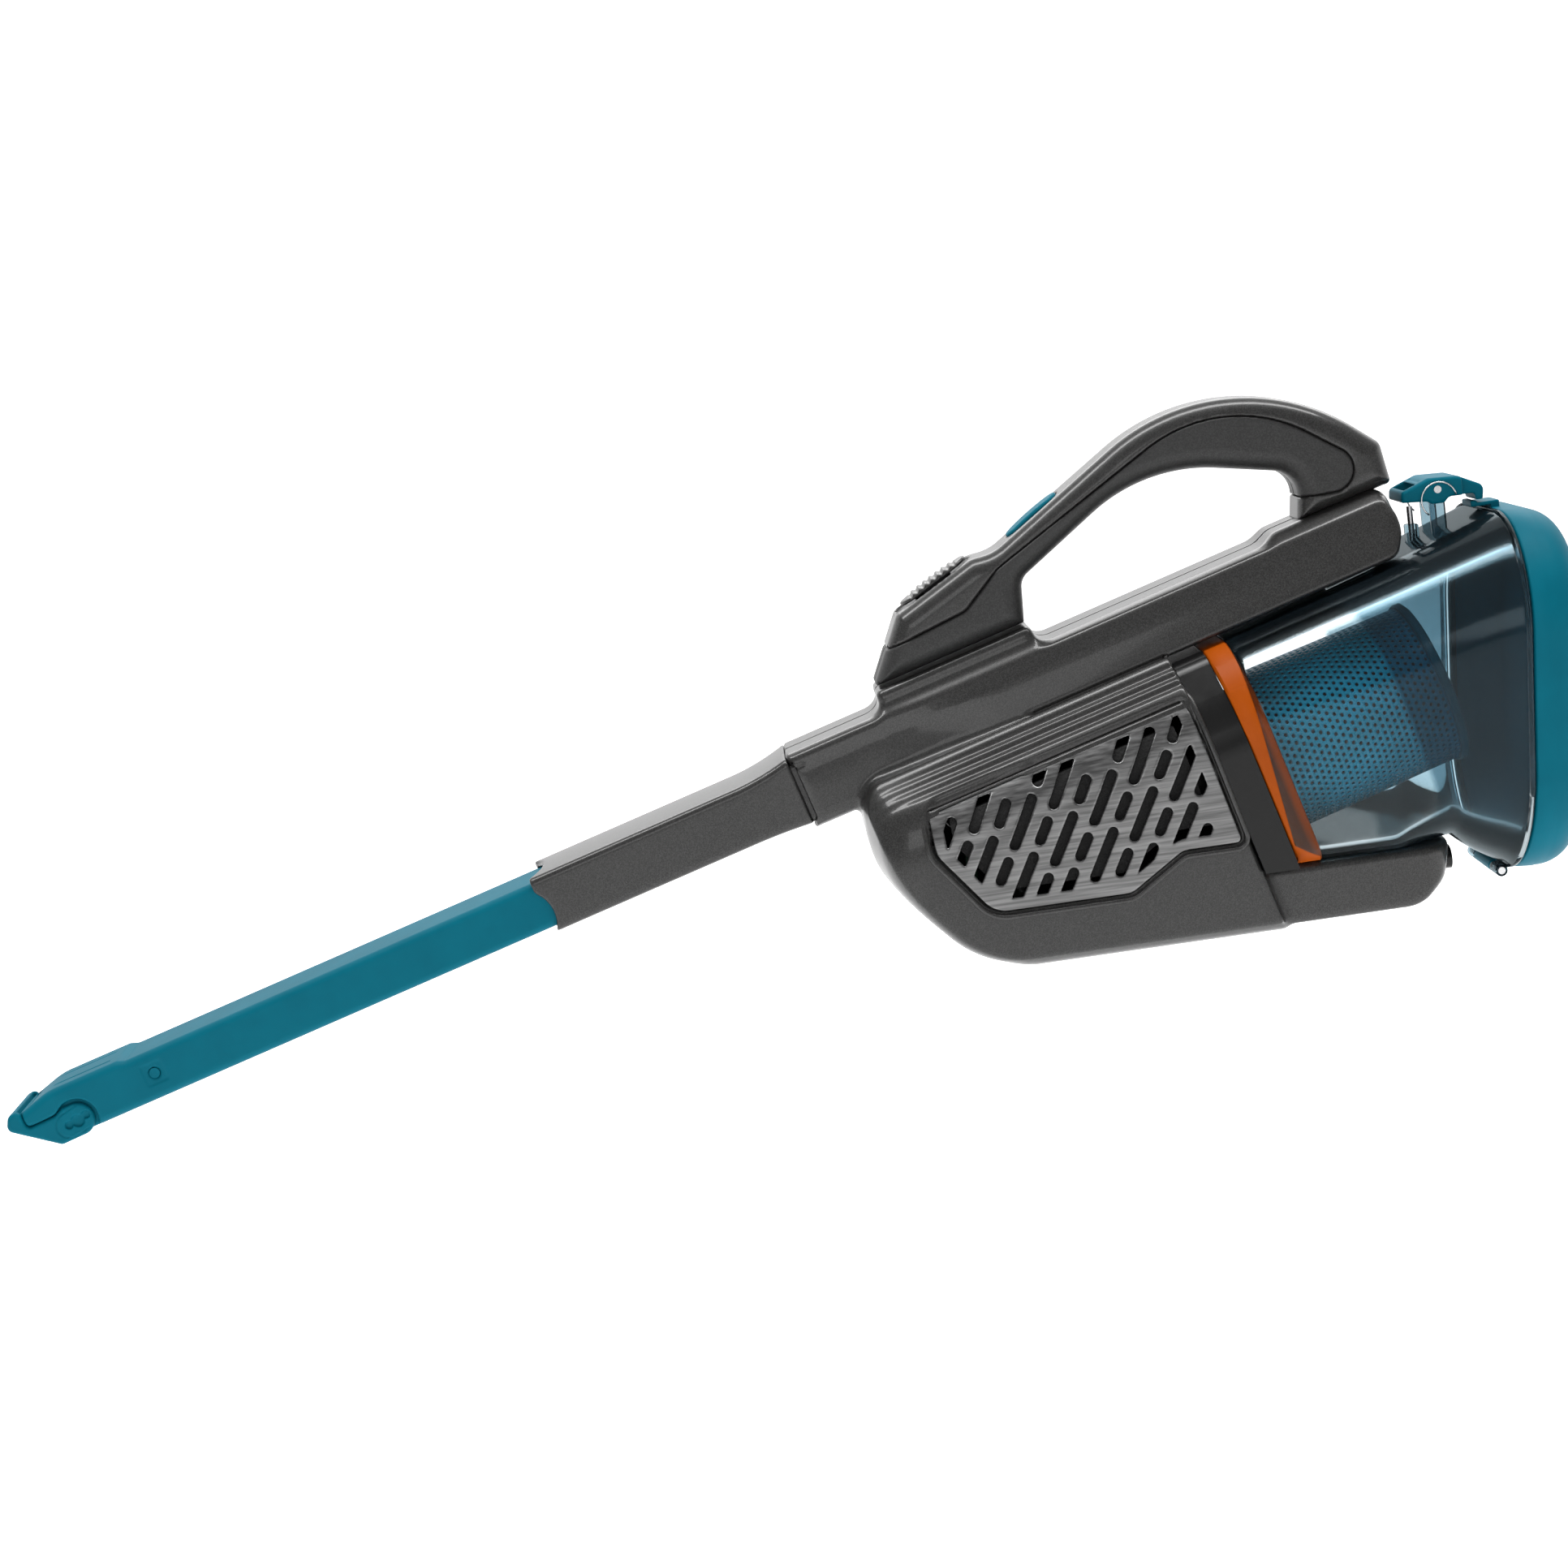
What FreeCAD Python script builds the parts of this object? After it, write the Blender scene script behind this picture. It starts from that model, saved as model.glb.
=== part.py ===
import FreeCAD, Part
import math
import os
from FreeCAD import Placement, Rotation, Vector

# A cordless handheld vacuum with a looped handle, a clear dust bowl and a crevice tool that
# slides out of its nozzle. Millimetres, +X to the rear, +Z up, origin at the centre of the flat
# underside of the battery base.

doc = FreeCAD.newDocument("handheld_vacuum")
sheet = doc.addObject("Spreadsheet::Sheet", "sizes")

SIZES = {
    "duct_slope": 15.6,          # degrees, rise of the air duct towards the rear
    "wall_thickness": 2.5,
    "fit_gap": 0.3,              # between pieces that only lie beside each other
    "running_gap": 0.06,         # radial, round pins and shafts
    "pod_width": 113,
    "base_width": 94,
    "base_height": 24.6,
    "cover_width": 78,
    "cover_length": 136,
    "cover_thickness": 2.4,
    "spine_top": 17.6,           # above the duct's axis
    "spine_bottom": 7.4,         # below the duct's axis, over the bowl
    "neck_bottom": 15.4,         # below the duct's axis, over the pod
    "spine_length": 265,
    "nozzle_width": 40,
    "nozzle_height": 24.4,
    "nozzle_length": 116,
    "bore_width": 35.4,
    "bore_height": 21.0,
    "tool_width": 34.6,
    "tool_height": 20.2,
    "tool_wall": 1.8,
    "tool_rear": -89.3,
    "pedestal_width": 34,
    "handle_width": 32,
    "grille_thickness": 1.4,
    "slot_width": 4,
    "collar_depth": 13.2,
    "ring_depth": 10,
    "bowl_wall": 2.0,
    "rim_width": 130,
    "rim_height": 146,
    "rim_tilt": 4.24,
    "door_depth": 27,
    "door_wall": 2.6,
    "screen_radius": 34.6,
    "screen_end_radius": 33.4,
    "screen_length": 72,
    "motor_radius": 22,
    "motor_length": 50,
    "fan_radius": 30,
    "cell_radius": 9.2,
    "cell_length": 65,
    "cell_pitch": 19,
    "pin_radius": 1.5,
}
for row, (alias, value) in enumerate(SIZES.items(), 1):
    sheet.set(f"A{row}", alias)
    sheet.set(f"B{row}", str(value))
    sheet.setAlias(f"B{row}", alias)
doc.recompute()


def size(alias):
    return float(sheet.get(alias))


SLOPE = size("duct_slope")
WALL = size("wall_thickness")
GAP = size("fit_gap")
RUN = size("running_gap")

# Frames: the world, the duct (x along the air path), the motor and filter axis, the bowl's rim.
WORLD = Placement()
DUCT = Placement(Vector(-160, 0, 76.5), Rotation(Vector(0, 1, 0), -SLOPE))
MOTOR = Placement(Vector(19, 0, 59), Rotation(Vector(0, 1, 0), -SLOPE))
RIM = Placement(Vector(127.3, 0, 78.3), Rotation(Vector(0, 1, 0), size("rim_tilt")))

nodes = {}


def node(name, made):
    """Names a finished sub-part, which is then written to its own file."""
    made.Label = name
    nodes[name] = made
    return made


def bind(made, **sizes):
    """Sets each property from a number, or binds it to an expression over the sheet."""
    for key, value in sizes.items():
        if isinstance(value, str):
            made.setExpression(key, value)
        else:
            setattr(made, key, value)


def shifted(frame, x=0, y=0, z=0):
    return frame.multiply(Placement(Vector(x, y, z), Rotation()))


def corner(points, i):
    """Where the arc at a corner starts, its middle and its end."""
    x, z = points[i][:2]
    radius = points[i][2] if len(points[i]) > 2 else 0
    here = Vector(x, z, 0)
    before = Vector(*points[i - 1][:2], 0) - here
    after = Vector(*points[(i + 1) % len(points)][:2], 0) - here
    half = before.getAngle(after) / 2
    if radius <= 0.05 or half > math.pi / 2 - 0.01:
        return [here]
    reach = radius / math.tan(half)
    middle = before.normalize() + after.normalize()
    centre = here + middle.normalize() * (radius / math.sin(half))
    start = here + before * reach
    end = here + after * reach
    nearest = centre + (here - centre).normalize() * radius
    return [start, nearest, end]


def rounded_loop(points):
    """A closed outline of lines and tangent arcs from (x, z, corner radius) points."""
    corners = [corner(points, i) for i in range(len(points))]
    edges = []
    for i, arc in enumerate(corners):
        if len(arc) == 3:
            edges.append(Part.Arc(*arc))
        start, end = arc[-1], corners[(i + 1) % len(corners)][0]
        if start.distanceToPoint(end) > 1e-4:
            edges.append(Part.LineSegment(start, end))
    return edges


def inset(points, distance):
    """The same outline moved inwards, for points that run anticlockwise."""
    moved = []
    for i, point in enumerate(points):
        here = Vector(*point[:2], 0)
        before = (here - Vector(*points[i - 1][:2], 0)).normalize()
        after = (Vector(*points[(i + 1) % len(points)][:2], 0) - here).normalize()
        left = Vector(-before.y, before.x, 0) + Vector(-after.y, after.x, 0)
        shift = left * (2 * distance / left.Length**2)
        convex = before.x * after.y - before.y * after.x > 0
        radius = point[2] if len(point) > 2 else 0
        if radius:
            radius = max(radius - distance, 0.5) if convex else radius + distance
        moved.append((here.x + shift.x, here.y + shift.y, radius))
    return moved


def prism(name, loops, length, plane="XZ_Plane", frame=WORLD, midplane=True):
    """A body with one sketch of closed outlines, padded. The first outline is the outer one."""
    body = doc.addObject("PartDesign::Body", name)
    sketch = body.newObject("Sketcher::SketchObject", name + "_outline")
    origin = [f for f in body.Origin.OriginFeatures if f.Role == plane][0]
    sketch.AttachmentSupport = [(origin, "")]
    sketch.MapMode = "FlatFace"
    for loop in loops:
        edges = rounded_loop(loop) if isinstance(loop[0], tuple) else loop
        sketch.addGeometry(edges, False)
    pad = body.newObject("PartDesign::Pad", name + "_pad")
    pad.Profile = sketch
    pad.Midplane = midplane
    bind(pad, Length=length)
    body.Placement = frame
    return body


def section(name, loops, length, frame):
    """A prism along the frame's x axis; its outlines are drawn over y and z."""
    return prism(name, loops, length, "YZ_Plane", frame, False)


def box(name, low, high, frame=WORLD):
    made = doc.addObject("Part::Box", name)
    bind(made, Length=high[0] - low[0], Width=high[1] - low[1], Height=high[2] - low[2])
    made.Placement = shifted(frame, *low)
    return made


AXES = {
    "x": Rotation(Vector(0, 1, 0), 90),
    "y": Rotation(Vector(1, 0, 0), -90),
    "z": Rotation(),
}


def rod(name, radius, length, start, axis="y", frame=WORLD):
    made = doc.addObject("Part::Cylinder", name)
    bind(made, Radius=radius, Height=length)
    made.Placement = frame.multiply(Placement(Vector(*start), AXES[axis]))
    return made


def cone(name, radius, end_radius, length, start, frame):
    made = doc.addObject("Part::Cone", name)
    bind(made, Radius1=radius, Radius2=end_radius, Height=length)
    made.Placement = frame.multiply(Placement(Vector(*start), AXES["x"]))
    return made


def fuse(name, *pieces):
    made = doc.addObject("Part::MultiFuse", name)
    made.Shapes = list(pieces)
    return made


def common(name, *pieces):
    made = doc.addObject("Part::MultiCommon", name)
    made.Shapes = list(pieces)
    return made


def cut(name, base, *tools):
    made = doc.addObject("Part::Cut", name)
    made.Base = base
    made.Tool = tools[0] if len(tools) == 1 else fuse(name + "_tools", *tools)
    return made


def group(name, pieces):
    """Separate solids kept as one sub-part."""
    made = doc.addObject("Part::Compound", name)
    made.Links = list(pieces)
    return made


def mirrored(points):
    """A symmetric outline from its half at positive y, anticlockwise."""
    return points + [(-p[0], *p[1:]) for p in reversed(points)]


def spring(name, radius, wire_radius, pitch, length, placement):
    """A helical spring, swept along its coil."""
    helix = Part.makeHelix(pitch, length, radius)
    circle = Part.Circle(Vector(radius, 0, 0), Vector(0, 1, 0), wire_radius)
    profile = Part.Wire([circle.toShape()])
    made = doc.addObject("Part::Feature", name)
    made.Shape = Part.Wire(helix.Edges).makePipeShell([profile], True, True)
    made.Placement = placement
    return made


# ---------------------------------------------------------------- housing outlines

POD_SIDE = [
    (-96, 0, 45), (24, 0), (-8.1, 114.5, 2), (-101, 98, 40),
    (-122, 88, 16), (-140, 69, 12), (-137, 45, 40),
]
POD_PLAN = [
    (30, -56.5), (30, 56.5), (-128, 56.5, 24), (-141, 28, 22), (-141, -28, 22), (-128, -56.5, 24),
]
POD_SECTION = mirrored([(56.5, -140), (56.5, 38, 34), (31.5, 58.6, 1.2), (20, 58.6)])
BASE_SIDE = [(-92, 0, 18), (84.5, 0, 28), (97.2, 24.6, 3), (-92, 24.6)]
BASE_PLAN = [(97, -47, 16), (97, 47, 16), (-100, 47), (-100, -47)]
spine_top, spine_end = size("spine_top"), size("spine_length")
spine_low, neck_low = -size("spine_bottom"), -size("neck_bottom")
SPINE_SIDE = [
    (0, neck_low), (156.6, neck_low), (156.6, spine_low), (spine_end - 9, spine_low, 5),
    (spine_end, 4, 14), (spine_end - 3, spine_top, 6), (0, spine_top, 1),
]
SPINE_SECTION = mirrored([(30, -16), (30, -8, 4), (24, 9, 6), (20.5, 15.5, 5), (15, 17.8)])
SPINE_PLAN = [
    (-1, -21.7), (28, -21.7, 40), (84, -30, 40), (266, -30, 8),
    (266, 30, 8), (84, 30, 40), (28, 21.7, 40), (-1, 21.7),
]
VENT = [
    (-36, 24.8, 8), (-14, 38.9, 8), (9.8, 38.9, 2), (-5.6, 97.6, 2),
    (-112, 69.6, 7), (-111, 51, 10), (-91, 24.8, 12),
]


def pod(name, depth):
    """The motor pod, moved in by a depth for its cavity, or out by a negative one."""
    side = prism(name + "_side", [inset(POD_SIDE, depth)], "sizes.pod_width")
    plan = prism(name + "_plan", [inset(POD_PLAN, depth)], 300, "XY_Plane")
    across = section(name + "_section", [inset(POD_SECTION, depth)], 260, shifted(MOTOR, -200))
    return common(name, side, plan, across)


def base(name, depth):
    """The battery base, moved in by a depth for its cavity."""
    side = prism(name + "_side", [inset(BASE_SIDE, depth)], "sizes.base_width")
    plan = prism(name + "_plan", [inset(BASE_PLAN, depth)], 100, "XY_Plane")
    return common(name, side, plan)


def spine(name, depth):
    """The spine over the air duct, moved in by a depth for its cavity."""
    side = prism(name + "_side", [inset(SPINE_SIDE, depth)], 80, frame=DUCT)
    plan = prism(name + "_plan", [inset(SPINE_PLAN, depth)], 100, "XY_Plane", DUCT)
    across = section(name + "_section", [inset(SPINE_SECTION, depth)], 300, shifted(DUCT, -10))
    return common(name, side, plan, across)


def wide_prism(name, outline, y_low, y_high, frame=WORLD):
    """A side outline between two distances from the middle plane."""
    return prism(name, [outline], y_high - y_low, frame=shifted(frame, 0, (y_low + y_high) / 2, 0))


PEDESTAL_FRONT, PEDESTAL_REAR, PEDESTAL_TOP = 44, 112, 25.6
pedestal = box("pedestal", (PEDESTAL_FRONT, -17, 12), (PEDESTAL_REAR, 17, PEDESTAL_TOP), DUCT)
bind(pedestal, Width="sizes.pedestal_width")
skin = fuse("housing_skin", pod("pod", 0), base("base", 0), spine("spine", 0), pedestal)
duct_room = box("duct_room", (50, -26, -24), (150, 26, -8), DUCT)
pod_room, base_room, spine_room = pod("pod_room", WALL), base("base_room", WALL), spine("spine_room", 2.2)
cavity = fuse("housing_cavity", pod_room, base_room, spine_room, duct_room)

INTAKE_RADIUS = 22
cuts = [
    box("neck_mouth", (-5, -19.4, -12.9), (6, 19.4, 12.9), DUCT),
    rod("intake_hole", INTAKE_RADIUS, 20, (-20, 0, 0), "x", MOTOR),
    box("outlet_hole", (229, -15, -12), (248, 15, -4), DUCT),
    box("cover_bay", (-68.2, -39.2, -5), (68.2, 39.2, 2.7)),
    rod("release_hole", 5.2, 20, (80, 0, 8), "x"),
]
SIDES = {"left": -1, "right": 1}
# The grilles lie in the pod's curved sides: the seat goes down to its floor, the window through.
GRILLE_OUT, SEAT_DEPTH = 0.2, 1.3
seat_floor = pod("seat_floor", SEAT_DEPTH)
cuts.append(cut("grille_seats", prism("seat_outline", [inset(VENT, -GAP)], 130), seat_floor))
for side, sign in SIDES.items():
    low, high = sorted((sign * 36, sign * 60))
    cuts.append(wide_prism(f"grille_window_{side}", inset(VENT, 4), low, high))

# Screw bosses across the halves: x, z of each screw, clear of duct, motor and cells.
SCREWS = [(-126, 60), (-106, 74), (-20, 8), (-75, 8), (-40, 98)]
BOSS_RADIUS, SCREW_RADIUS, HEAD_RADIUS = 4, 1.5, 3
boss_rods = [rod(f"boss_{i}", BOSS_RADIUS, 140, (x, -70, z)) for i, (x, z) in enumerate(SCREWS)]
bosses = common("bosses", fuse("boss_group", *boss_rods), skin)
screw_holes = [
    rod(f"screw_hole_{i}", SCREW_RADIUS + 0.1, 100, (x, -22, z)) for i, (x, z) in enumerate(SCREWS)
]
head_holes = [
    rod(f"head_hole_{i}", HEAD_RADIUS + 0.2, 60, (x, 24, z)) for i, (x, z) in enumerate(SCREWS)
]
shell = fuse("shell_with_bosses", cut("open_shell", skin, cavity), bosses)
hollow = cut("housing_shell", shell, *cuts, *screw_holes, *head_holes)
FAR = 400
half_space = {
    "left": box("left_space", (-FAR, -FAR, -FAR), (FAR, -0.02, FAR)),
    "right": box("right_space", (-FAR, 0.02, -FAR), (FAR, FAR, FAR)),
}
for side in SIDES:
    node(f"{side}_housing", common(f"{side}_housing", hollow, half_space[side]))

screws = []
for i, (x, z) in enumerate(SCREWS):
    head = rod(f"screw_head_{i}", HEAD_RADIUS, 2, (x, 24.05, z))
    screws.append(fuse(f"screw_{i}", head, rod(f"screw_stem_{i}", SCREW_RADIUS, 44, (x, -19.9, z))))
node("housing_screws", group("housing_screws", screws))

# ---------------------------------------------------------------- base cover and battery

COVER_SCREWS = [(-60, -35.8), (-60, 35.8), (62, -35.8), (62, 35.8)]
plate = box("cover_plate", (-68, -39, 0), (68, 39, 2.4))
bind(plate, Length="sizes.cover_length", Width="sizes.cover_width", Height="sizes.cover_thickness")
CONTACTS = [(-40, -12), (-40, 12)]
CONTACT_RADIUS = 2.5
cover_holes = []
for i, (x, y) in enumerate(COVER_SCREWS):
    cover_holes.append(rod(f"cover_hole_{i}", 1.6, 10, (x, y, -4), "z"))
    cover_holes.append(rod(f"cover_seat_{i}", 2.6, 2, (x, y, -0.8), "z"))
for i, (x, y) in enumerate(CONTACTS):
    cover_holes.append(rod(f"contact_hole_{i}", CONTACT_RADIUS + 0.1, 10, (x, y, -4), "z"))
node("base_cover", cut("base_cover", plate, *cover_holes))
cover_screws = []
for i, (x, y) in enumerate(COVER_SCREWS):
    head = rod(f"cover_head_{i}", 2.5, 1, (x, y, 0.1), "z")
    cover_screws.append(fuse(f"cover_screw_{i}", head, rod(f"cover_stem_{i}", 1.5, 7, (x, y, 1.05), "z")))
node("cover_screws", group("cover_screws", cover_screws))
contacts = [rod(f"contact_{i}", CONTACT_RADIUS, 4, (x, y, 0.4), "z") for i, (x, y) in enumerate(CONTACTS)]
node("charging_contacts", group("charging_contacts", contacts))
feet = [rod(f"foot_{i}", 2.4, 2.5, (70.9, y, -2.6), "z") for i, y in enumerate((-30, 30))]
node("rubber_feet", group("rubber_feet", feet))

CELL_COUNT, FIRST_CELL, CELL_HEIGHT = 4, 14, 12.7
cells = []
for i in range(CELL_COUNT):
    x = FIRST_CELL + i * size("cell_pitch")
    cells.append(rod(f"cell_{i}", "sizes.cell_radius", "sizes.cell_length", (x, -32.5, CELL_HEIGHT)))
node("battery_cells", group("battery_cells", cells))
tray = box("tray_block", (3.5, -33.7, 2.8), (70.5, 33.7, 12))
node("battery_tray", cut("battery_tray", tray, box("tray_room", (-5, -32.7, 3.4), (90, 32.7, 20))))

# ---------------------------------------------------------------- nozzle and air ducts


def bar(half_width, low, high, radius=2):
    return mirrored([(half_width, low, radius), (half_width, high, radius)])


bore_top = size("bore_height") / 2
duct_bore = bar(size("bore_width") / 2, -bore_top, bore_top, 0.6)
nozzle_half = size("nozzle_width") / 2
nozzle_half_height = size("nozzle_height") / 2
bore = section("nozzle_bore", [duct_bore], 140, shifted(DUCT, -130))
sleeve = section(
    "nozzle_sleeve",
    [bar(nozzle_half, -nozzle_half_height, nozzle_half_height, 3)],
    "sizes.nozzle_length - 0.2",
    shifted(DUCT, -size("nozzle_length")),
)
spigot = section("nozzle_spigot", [bar(19.1, -12.6, 12.6, 2)], 9, shifted(DUCT, -1))
scallop = rod("nozzle_scallop", 9, 60, (-122, -30, -1.5), "y", DUCT)
node("nozzle", cut("nozzle", fuse("nozzle_outside", sleeve, spigot), bore, scallop))

front_tube = section("front_air_duct", [bar(19, -12, 12, 2), duct_bore], 103.5, shifted(DUCT, 8.3))
node("front_air_duct", front_tube)
rear_tube = section("rear_tube", [bar(17.5, -4.9, 15, 5)], 138, shifted(DUCT, 112))
rear_room = section("rear_tube_room", [bar(16, -3.5, 13.6, 3.5)], 137.6, shifted(DUCT, 111))
rear_outlet = box("rear_outlet", (230, -14, -8), (247, 14, 0), DUCT)
node("rear_air_duct", cut("rear_air_duct", rear_tube, rear_room, rear_outlet))

# ---------------------------------------------------------------- crevice tool and flip brush

tool_half = size("tool_width") / 2
tool_top = size("tool_height") / 2
tool_rear = size("tool_rear")
NOSE = -353
TOOL_SIDE = [
    (tool_rear, -tool_top), (tool_rear, tool_top), (-301, tool_top), (-303.5, 11.4), (-335, 11.4, 30),
    (NOSE + 1, 6.5, 4), (NOSE + 1.5, 1.0, 1), (-338.5, -3.6), (-337, -9.2, 1), (-330, -tool_top, 2),
]
PIVOT = (-328, -4.1)
FRAME_SIDE = [
    (-338.5, -11.4, 2), (-321, -11.1, 7), (-321, 2.9, 7), (-332, 2.9, 3), (-336, 1.0, 3), (-348.5, 0.6, 2),
    (-349, 9, 2), (-354, 8.5, 3), (-357, 3, 3),
]
tool_block = prism("tool_block", [list(reversed(TOOL_SIDE))], "sizes.tool_width", frame=DUCT)
tool_wall = size("tool_wall")
tool_bore = bar(tool_half - tool_wall, tool_wall - tool_top, tool_top - tool_wall, 1.5)
tool_room = section("tool_room", [tool_bore], 260, shifted(DUCT, -322))
tip_room = section("tip_room", [bar(12.8, -9.5, tool_top - 2, 1.5)], 40, shifted(DUCT, -349))
mouth = prism("tool_mouth", [[(-337.5, -20), (-337.5, -6), (-350, 0.6), (-350, -20)]], 25.6, frame=DUCT)
# The arms lie in recesses, and the heel's recess is larger, for the heel as it swings.
HEEL_SWEEP = 9
arm_room = []
for side, sign in SIDES.items():
    low, high = sorted((sign * 14.7, sign * 30))
    arm_room.append(wide_prism(f"arm_room_{side}", inset(FRAME_SIDE, -0.6), low, high, DUCT))
    arm_room.append(rod(f"heel_room_{side}", HEEL_SWEEP, high - low, (PIVOT[0], low, PIVOT[1]), "y", DUCT))
nose_room = box("nose_room", (-370, -20, -20), (NOSE + 2.4, 20, 20), DUCT)
bump_wells = [
    box("bump_well_left", (-295, -30, -3.6), (-286, -tool_half + 1, 5.4), DUCT),
    box("bump_well_right", (-295, tool_half - 1, -3.6), (-286, 30, 5.4), DUCT),
]
bump_holes = rod("bump_holes", 2.3, 60, (-290.4, -30, 0.9), "y", DUCT)
pivot_pins = rod("pivot_pins", 3, 34, (PIVOT[0], -17, PIVOT[1]), "y", DUCT)
pin_room = box("pin_room", (-340, -12.8, -8), (-315, 12.8, 8), DUCT)
tool_outside = cut("tool_outside", tool_block, *arm_room, nose_room)
tool_with_pins = fuse("tool_with_pins", tool_outside, pivot_pins)
tool_shell = cut("tool_shell", tool_with_pins, tool_room, tip_room, pin_room, mouth)
node("crevice_tool", cut("crevice_tool", tool_shell, *bump_wells, bump_holes))

for side, sign in SIDES.items():
    start = min(sign * 13.4, sign * 17.1)
    bump = rod(f"bump_{side}", 2.2, 3.7, (-290.4, start, 0.9), "y", DUCT)
    flange_start = min(sign * 13.2, sign * 14.6)
    flange = rod(f"bump_flange_{side}", 3.4, 1.4, (-290.4, flange_start, 0.9), "y", DUCT)
    node(f"detent_button_{side}", fuse(f"detent_button_{side}", bump, flange))

frame_block = prism("frame_block", [FRAME_SIDE], "sizes.tool_width", frame=DUCT)
frame_gap = box("frame_gap", (-351.3, -15, -20), (-300, 15, 20), DUCT)
pivot_holes = rod("pivot_holes", 3 + RUN, 60, (PIVOT[0], -30, PIVOT[1]), "y", DUCT)
node("brush_frame", cut("brush_frame", frame_block, frame_gap, pivot_holes))

TUFTS, TUFT_PITCH, TUFT_LEAN = 9, 2.7, 38
tufts = []
for i in range(TUFTS):
    across = (i - (TUFTS - 1) / 2) * TUFT_PITCH
    root = Placement(Vector(NOSE, across, 0.75), Rotation(Vector(0, 1, 0), TUFT_LEAN))
    tufts.append(rod(f"tuft_{i}", 0.8, 15, (0, 0, 0), "x", DUCT.multiply(root)))
node("brush_bristles", group("brush_bristles", tufts))

# ---------------------------------------------------------------- handle

HANDLE = [
    (-124.5, 114, 1), (-60.5, 131.8), (-59.5, 149.5, 7), (-3.9, 187.9, 68), (57, 176.3, 11), (54.4, 156.5),
    (93.6, 167, 2), (90.6, 183.5, 5), (32.4, 229.8, 84), (-70, 161.5, 20), (-79, 160.5, 10),
    (-111.6, 142.2, 5),
]
GRIP = [
    (-140, 100), (-30, 128), (40, 150), (40, 165.6), (72, 167, 6),
    (84.5, 176, 9), (30, 213.5, 60), (-3, 195, 30), (-69.3, 155.5, 9), (-84, 140.5, 10), (-140, 121),
]
handle_block = prism("handle_block", [HANDLE], "sizes.handle_width")
handle_room = prism("handle_room", [inset(HANDLE, 2.6)], 26.4)
handle_shell = cut("handle_shell", handle_block, handle_room)
grip_region = prism("grip_region", [GRIP], 60)
switch_frame = Placement(Vector(-94.2, 0, 151.97), Rotation(Vector(0, 1, 0), -29.3))
boost_frame = Placement(Vector(-51.6, 0, 173.9), Rotation(Vector(0, 1, 0), -33.5))
cover_cuts = [
    box("switch_slot", (-9, -3, -8), (9, 3, 4), switch_frame),
    box("boost_hole", (-13.3, -5.8, -8), (13.3, 5.8, 6), boost_frame),
]
node("handle_cover", cut("handle_cover", handle_shell, grip_region, *cover_cuts))
grip_shell = common("grip_shell", handle_shell, prism("grip_inner_region", [inset(GRIP, 0.1)], 60))
for side in SIDES:
    node(f"grip_{side}", common(f"grip_{side}", grip_shell, half_space[side]))

slider = section("slider_pad", [bar(7, 0.3, 2.6, 1)], 31, shifted(switch_frame, -15.5))
slider_stem = box("slider_stem", (-6, -2.8, -3.6), (6, 2.8, 1), switch_frame)
node("power_switch", fuse("power_switch", slider, slider_stem))
pad = section("boost_pad", [bar(5.6, -2.2, 0.8, 1)], 26, shifted(boost_frame, -13))
node("boost_button", fuse("boost_button", pad, box("boost_stem", (-3, -2, -5), (3, 2, -1), boost_frame)))
module_frame = shifted(switch_frame, 0, 0, -14)
module = box("module_block", (-14, -8, -4), (10, 8, 4), module_frame)
module_lead = box("module_lead", (-4, -3, 3), (2, 3, 8), module_frame)
node("switch_module", fuse("switch_module", module, module_lead))

# ---------------------------------------------------------------- vent grilles and foam

SLOT_ANGLE = math.radians(61.5)
FIRST_SLOT, NEXT_LINE = (-48.4, 54.2), (7.5, -4.3)
SLOT_PERIOD, LONG_SLOT, SHORT_SLOT, SLOT_GAP = 41.5, 23.3, 12, 3.1
SPOT_STEP, FEWEST_SPOTS = 0.5, 6   # a slot is kept where it stays within the border


def inside(points, x, z):
    """True if the point lies in the outline, corners taken as sharp."""
    odd = False
    for i, (x1, z1, *_) in enumerate(points):
        x0, z0 = points[i - 1][:2]
        if (z0 > z) != (z1 > z) and x < x0 + (z - z0) * (x1 - x0) / (z1 - z0):
            odd = not odd
    return odd


def slot_loop(x0, z0, x1, z1, radius):
    """A round-ended slot between two centres."""
    along = Vector(x1 - x0, z1 - z0, 0).normalize()
    side = Vector(-along.y, along.x, 0) * radius
    a, b = Vector(x0, z0, 0), Vector(x1, z1, 0)
    return [
        Part.LineSegment(a + side, b + side),
        Part.Arc(b + side, b + along * radius, b - side),
        Part.LineSegment(b - side, a - side),
        Part.Arc(a - side, a - along * radius, a + side),
    ]


def grille_slots():
    """Lines of long and short slots, cut off at the grille's border."""
    border = inset(VENT, 6.8)
    radius = size("slot_width") / 2
    dx, dz = math.cos(SLOT_ANGLE), math.sin(SLOT_ANGLE)
    loops = []
    for line in range(-9, 9):
        for step in range(-4, 5):
            for start, length in ((0, LONG_SLOT), (LONG_SLOT + SLOT_GAP, SHORT_SLOT)):
                begin = step * SLOT_PERIOD + start + (line % 2) * SLOT_PERIOD / 2
                count = int((length - 2 * radius) / SPOT_STEP) + 1
                spots = [begin + radius + t * SPOT_STEP for t in range(count)]
                x0, z0 = (FIRST_SLOT[k] + line * NEXT_LINE[k] for k in (0, 1))
                kept = [t for t in spots if inside(border, x0 + t * dx, z0 + t * dz)]
                if len(kept) > FEWEST_SPOTS:
                    ends = [(x0 + t * dx, z0 + t * dz) for t in (kept[0], kept[-1])]
                    loops.append(slot_loop(*ends[0], *ends[1], radius))
    return loops


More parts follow.
